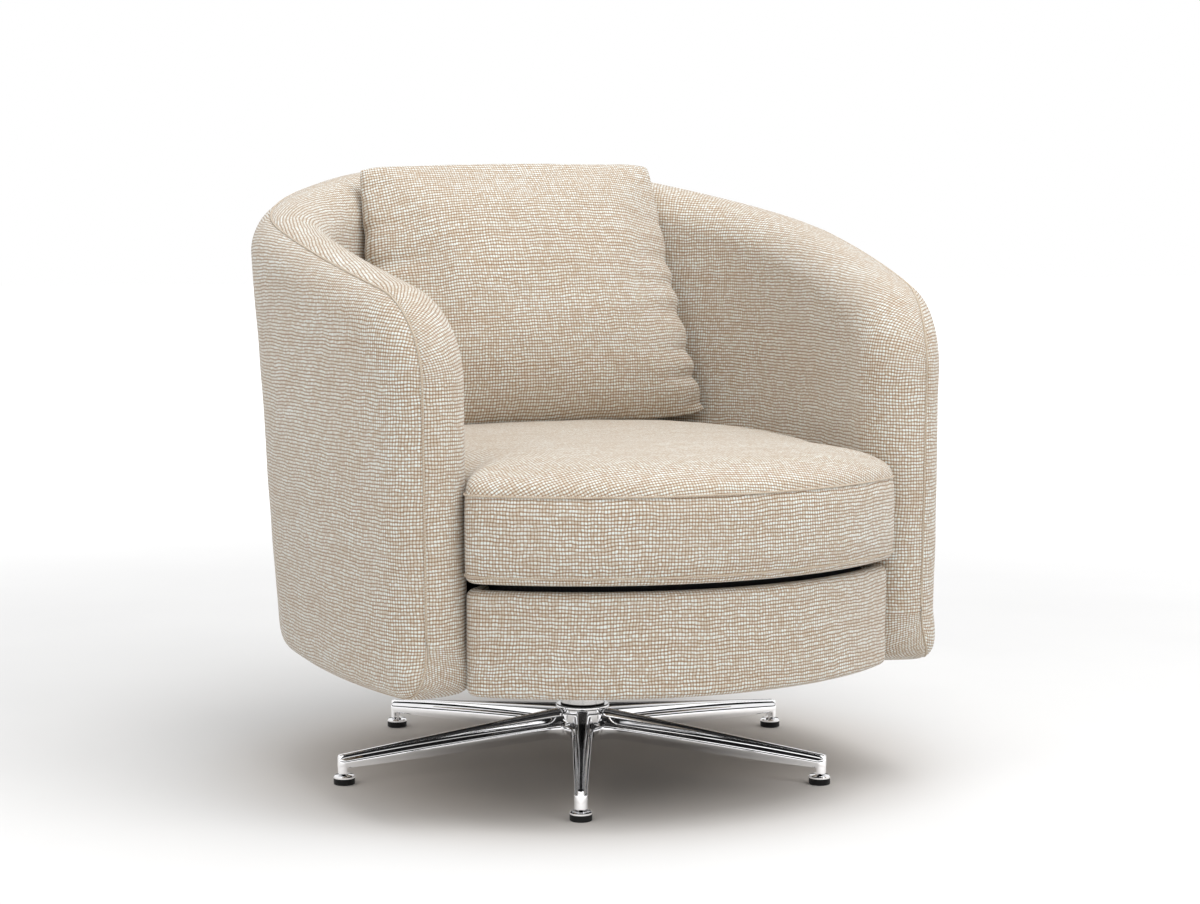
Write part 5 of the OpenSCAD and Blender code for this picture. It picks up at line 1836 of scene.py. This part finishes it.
def make_finishes(effects: Effects) -> dict[Slot, Material]:
    """The finish of every material slot of the record."""
    looks = {
        Slot.CHROME: Metal("chrome", colour=(0.92, 0.92, 0.93, 1), low=0.03, high=0.1, amount=0.35),
        # The sleeve is painted shade above 0.09 m, above the part that shows: black, so the legs' crowns
        # mirror it dark.
        Slot.SATIN: Metal("satin_steel", colour=(0.62, 0.61, 0.6, 1), low=0.26, high=0.38,
                          anisotropy=0.5, shade_black_above=0.09),
        Slot.STEEL: Metal("zinc_steel", colour=(0.55, 0.56, 0.58, 1), low=0.25, high=0.5),
        Slot.BRASS: Metal("cage_brass", colour=(0.72, 0.52, 0.25, 1), low=0.2, high=0.4),
        Slot.NYLON: Plastic("nylon", colour=(0.62, 0.6, 0.55, 1), dust=(0.5, 0.47, 0.42, 1)),
        Slot.RUBBER: Plastic("rubber", colour=(0.012, 0.012, 0.012, 1), dust=(0.02, 0.02, 0.02, 1),
                             gloss=0.15),
        Slot.PLYWOOD: Plywood("plywood"),
        Slot.WEBBING: PlainCloth("webbing", base=(0.01, 0.01, 0.012, 1), top=(0.06, 0.06, 0.065, 1),
                                 pitch=0.0024),
        Slot.DECK: PlainCloth("deck_cloth"),
        Slot.UPHOLSTERY: WovenCover("woven_cover"),
    }
    return {slot: look.make(effects) for slot, look in looks.items()}


# Studio


@dataclass(frozen=True)
class Lamp:
    """One square soft light."""

    name: str
    place: Triple
    aim: Triple
    size: float
    power: float
    colour: Triple = (1.0, 1.0, 1.0)

    def build(self) -> None:
        """Hangs the light up."""
        data = bpy.data.lights.new(self.name, "AREA")
        data.shape, data.size, data.energy, data.color = "SQUARE", self.size, self.power, self.colour
        lamp = placed(self.name, data)
        lamp.location = self.place
        lamp.rotation_euler = (Vector(self.place) - Vector(self.aim)).to_track_quat("Z", "Y").to_euler()


@dataclass(frozen=True)
class Floor:
    """The pale floor: painted shadow makes it greyer and warmer under the chair, and it is white far from
    it.

    Each pair of distances from the axis is where a change begins and where it ends.
    """

    reach: float = 30.0
    cloud_scale: float = 3.0
    paint: Pair = (0.755, 0.79)
    # Painted shadow: the warm grey of the chair's shade and its cloth's bounce, laid under the chair.
    painted_shadow_tint: Colour = (0.73, 0.68, 0.63, 1)
    near: Pair = (0.2, 0.55)
    whiten: Pair = (1.0, 4.5)
    # Painted reflection: for glossy rays the floor glows from the first distance out, also inside the
    # chair's shadow.
    mirrored: Pair = (0.12, 0.42)
    painted_reflection_glow: float = 0.6
    roughness: float = 0.6
    glow: float = 0.6

    def build(self) -> None:
        """Lays the floor. What metal mirrors of it glows sooner than what the camera sees, as a painted
        reflection.
        """
        mesh = bpy.data.meshes.new("floor")
        r = self.reach
        mesh.from_pydata([(-r, -r, 0), (r, -r, 0), (r, r, 0), (-r, r, 0)], [], [(0, 1, 2, 3)])
        floor = placed("floor", mesh)
        n = Surface("floor_paint")
        away = n.add("VectorMath", {0: n.place()}, operation="LENGTH").outputs["Value"]
        paint = n.blend(n.noise(n.place(), self.cloud_scale, 3.0), *map(grey, self.paint))
        white = n.spread(away, *self.whiten)
        # Painted reflection: the chrome mirrors this glow in place of the shadowed floor near the chair.
        mirrored = n.spread(away, *self.mirrored, 0.0, self.painted_reflection_glow)
        glow = n.add("Mix", {0: n.add("LightPath").outputs["Is Glossy Ray"], 2: white, 3: mirrored})
        # The base colour holds the painted shadow tint under the chair, fading out to the floor's paint.
        n.feed(n.tree.nodes["Principled BSDF"], {
            "Base Color": n.blend(n.spread(away, *self.near), self.painted_shadow_tint, paint),
            "Roughness": self.roughness, "Specular IOR Level": 0.0, "Emission Strength": self.glow,
            "Emission Color": n.blend(glow.outputs[0], grey(0.0), grey(1.0))})
        mesh.materials.append(n.material)


@dataclass(frozen=True)
class Sky:
    """White to look at, and two soft skies: one that lights and one that metal mirrors.

    Each runs from a low to a high grey between two heights of the direction.
    """

    lit: Pair = (0.18, 0.92)
    lit_heights: Pair = (0.0, 0.6)
    mirrored: Pair = (0.015, 1.0)
    mirrored_heights: Pair = (0.12, 0.24)

    def build(self) -> None:
        """Makes the world."""
        world = bpy.data.worlds.new("studio")
        world.use_nodes = True
        bpy.context.scene.world = world
        n = Nodes(world.node_tree)
        n.tree.nodes.clear()
        height = n.split(n.add("TexCoord").outputs["Generated"])[2]
        lit = n.blend(n.spread(height, *self.lit_heights), *map(grey, self.lit))
        mirrored = n.blend(n.spread(height, *self.mirrored_heights), *map(grey, self.mirrored))
        path = n.add("LightPath").outputs
        colour = n.blend(path["Is Camera Ray"], n.blend(path["Is Glossy Ray"], lit, mirrored), grey(1.0))
        light = n.add("Background", {"Color": colour, "Strength": 1.0})
        n.add("OutputWorld", {"Surface": light.outputs[0]})


@dataclass(frozen=True)
class Studio:
    """The photograph's viewpoint, floor, sky and lights."""

    turn: float = math.radians(-23.572)
    rise: float = math.radians(5.214)
    distance: float = 3.0523
    lens: float = 70.74
    sensor: float = 36.0
    far: float = 60.0
    target_side: float = 0.02273
    target_height: float = 0.40272
    lamps: tuple[Lamp, ...] = (
        Lamp("key", (1.5, -2.4, 2.6), (0, 0, 0.4), 1.6, 20, (1.0, 0.99, 0.98)),
        Lamp("fill", (-2.6, -1.0, 1.4), (0, 0, 0.4), 1.8, 8),
        Lamp("overhead", (0.3, -0.9, 3.2), (0, 0, 0.3), 2.2, 56))

    def camera(self) -> None:
        """Sets up the camera at the photograph's angle."""
        back = Vector((math.sin(self.turn) * math.cos(self.rise),
                       -math.cos(self.turn) * math.cos(self.rise), math.sin(self.rise)))
        right = Vector((math.cos(self.turn), math.sin(self.turn), 0.0))
        target = right * self.target_side + Vector((0.0, 0.0, self.target_height))
        data = bpy.data.cameras.new("camera")
        data.lens, data.sensor_width, data.sensor_fit = self.lens, self.sensor, "HORIZONTAL"
        data.clip_end = self.far
        camera = placed("camera", data)
        camera.location = target + back * self.distance
        camera.rotation_euler = back.to_track_quat("Z", "Y").to_euler()
        bpy.context.scene.camera = camera

    def build(self) -> None:
        """Makes the whole studio."""
        self.camera()
        Floor().build()
        Sky().build()
        for lamp in self.lamps:
            lamp.build()
        bpy.context.scene.view_settings.view_transform = "Standard"


# The chair


def dress(piece: Piece, body: Body, nodes: tuple[str, ...] = ()) -> None:
    """Sets a piece on its body and puts it in the place of plain solids.

    Args:
        piece: The finished piece.
        body: What it moves with.
        nodes: The solids that it stands for.
    """
    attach(piece, body.value)
    if nodes:
        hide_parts(*nodes)
    LOG.info("%s: %d faces, rides %s", piece.name, len(piece.data.polygons), body.value)


def main() -> None:
    """Builds the studio, the finishes and every piece of the chair."""
    logging.basicConfig(level=logging.INFO, format="%(message)s")
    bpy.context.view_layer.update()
    Studio().build()
    effects = Effects()
    finishes = make_finishes(effects)
    cover = finishes[Slot.UPHOLSTERY]
    welt_cloth = WovenCover("welt_cloth", line=(0.34, 0.245, 0.16, 1), ground=(0.53, 0.44, 0.34, 1),
                            thread=(0.62, 0.57, 0.49, 1), slub=(0.64, 0.60, 0.54, 1), width=0.0022,
                            height=0.0022, relief=0.0002).make(effects)
    slots = {part["node"]: Slot(part["material_slot"]) for part in frame["record"]["subparts"]}
    for node, piece in frame["nodes"].items():
        piece.data.materials.clear()
        piece.data.materials.append(finishes[slots[node]])
    wall = BarrelWall()
    seat = SeatCushion(wall)
    skirt = Skirt(wall)
    inside = SeatInside(wall, skirt)
    shell, welt = ShellCover(wall).build(cover, welt_cloth)
    dress(shell, Body.SEAT, ("shell_cover",))
    dress(welt, Body.SEAT)
    band = skirt.build(cover)
    dress(band, Body.SEAT, ("skirt",))
    cushion, seams = seat.build(cover, welt_cloth)
    dress(cushion, Body.CUSHION, ("seat_cushion",))
    dress(seams, Body.CUSHION)
    pillow = BackPillow(wall, seat).build(cover)
    dress(pillow, Body.PILLOW, ("back_pillow",))
    deck = inside.deck(finishes[Slot.DECK])
    dress(deck, Body.SEAT, ("deck_pad",))
    dust_cover = inside.dust_cover(finishes[Slot.DECK])
    dress(dust_cover, Body.SEAT, ("dust_cover",))
    dress(StarBase().build(finishes[Slot.CHROME]), Body.BASE, ("star_base",))
    dress(Column().build(finishes[Slot.SATIN]), Body.SEAT, ("column_sleeve",))


if __name__ == "__main__":
    main()
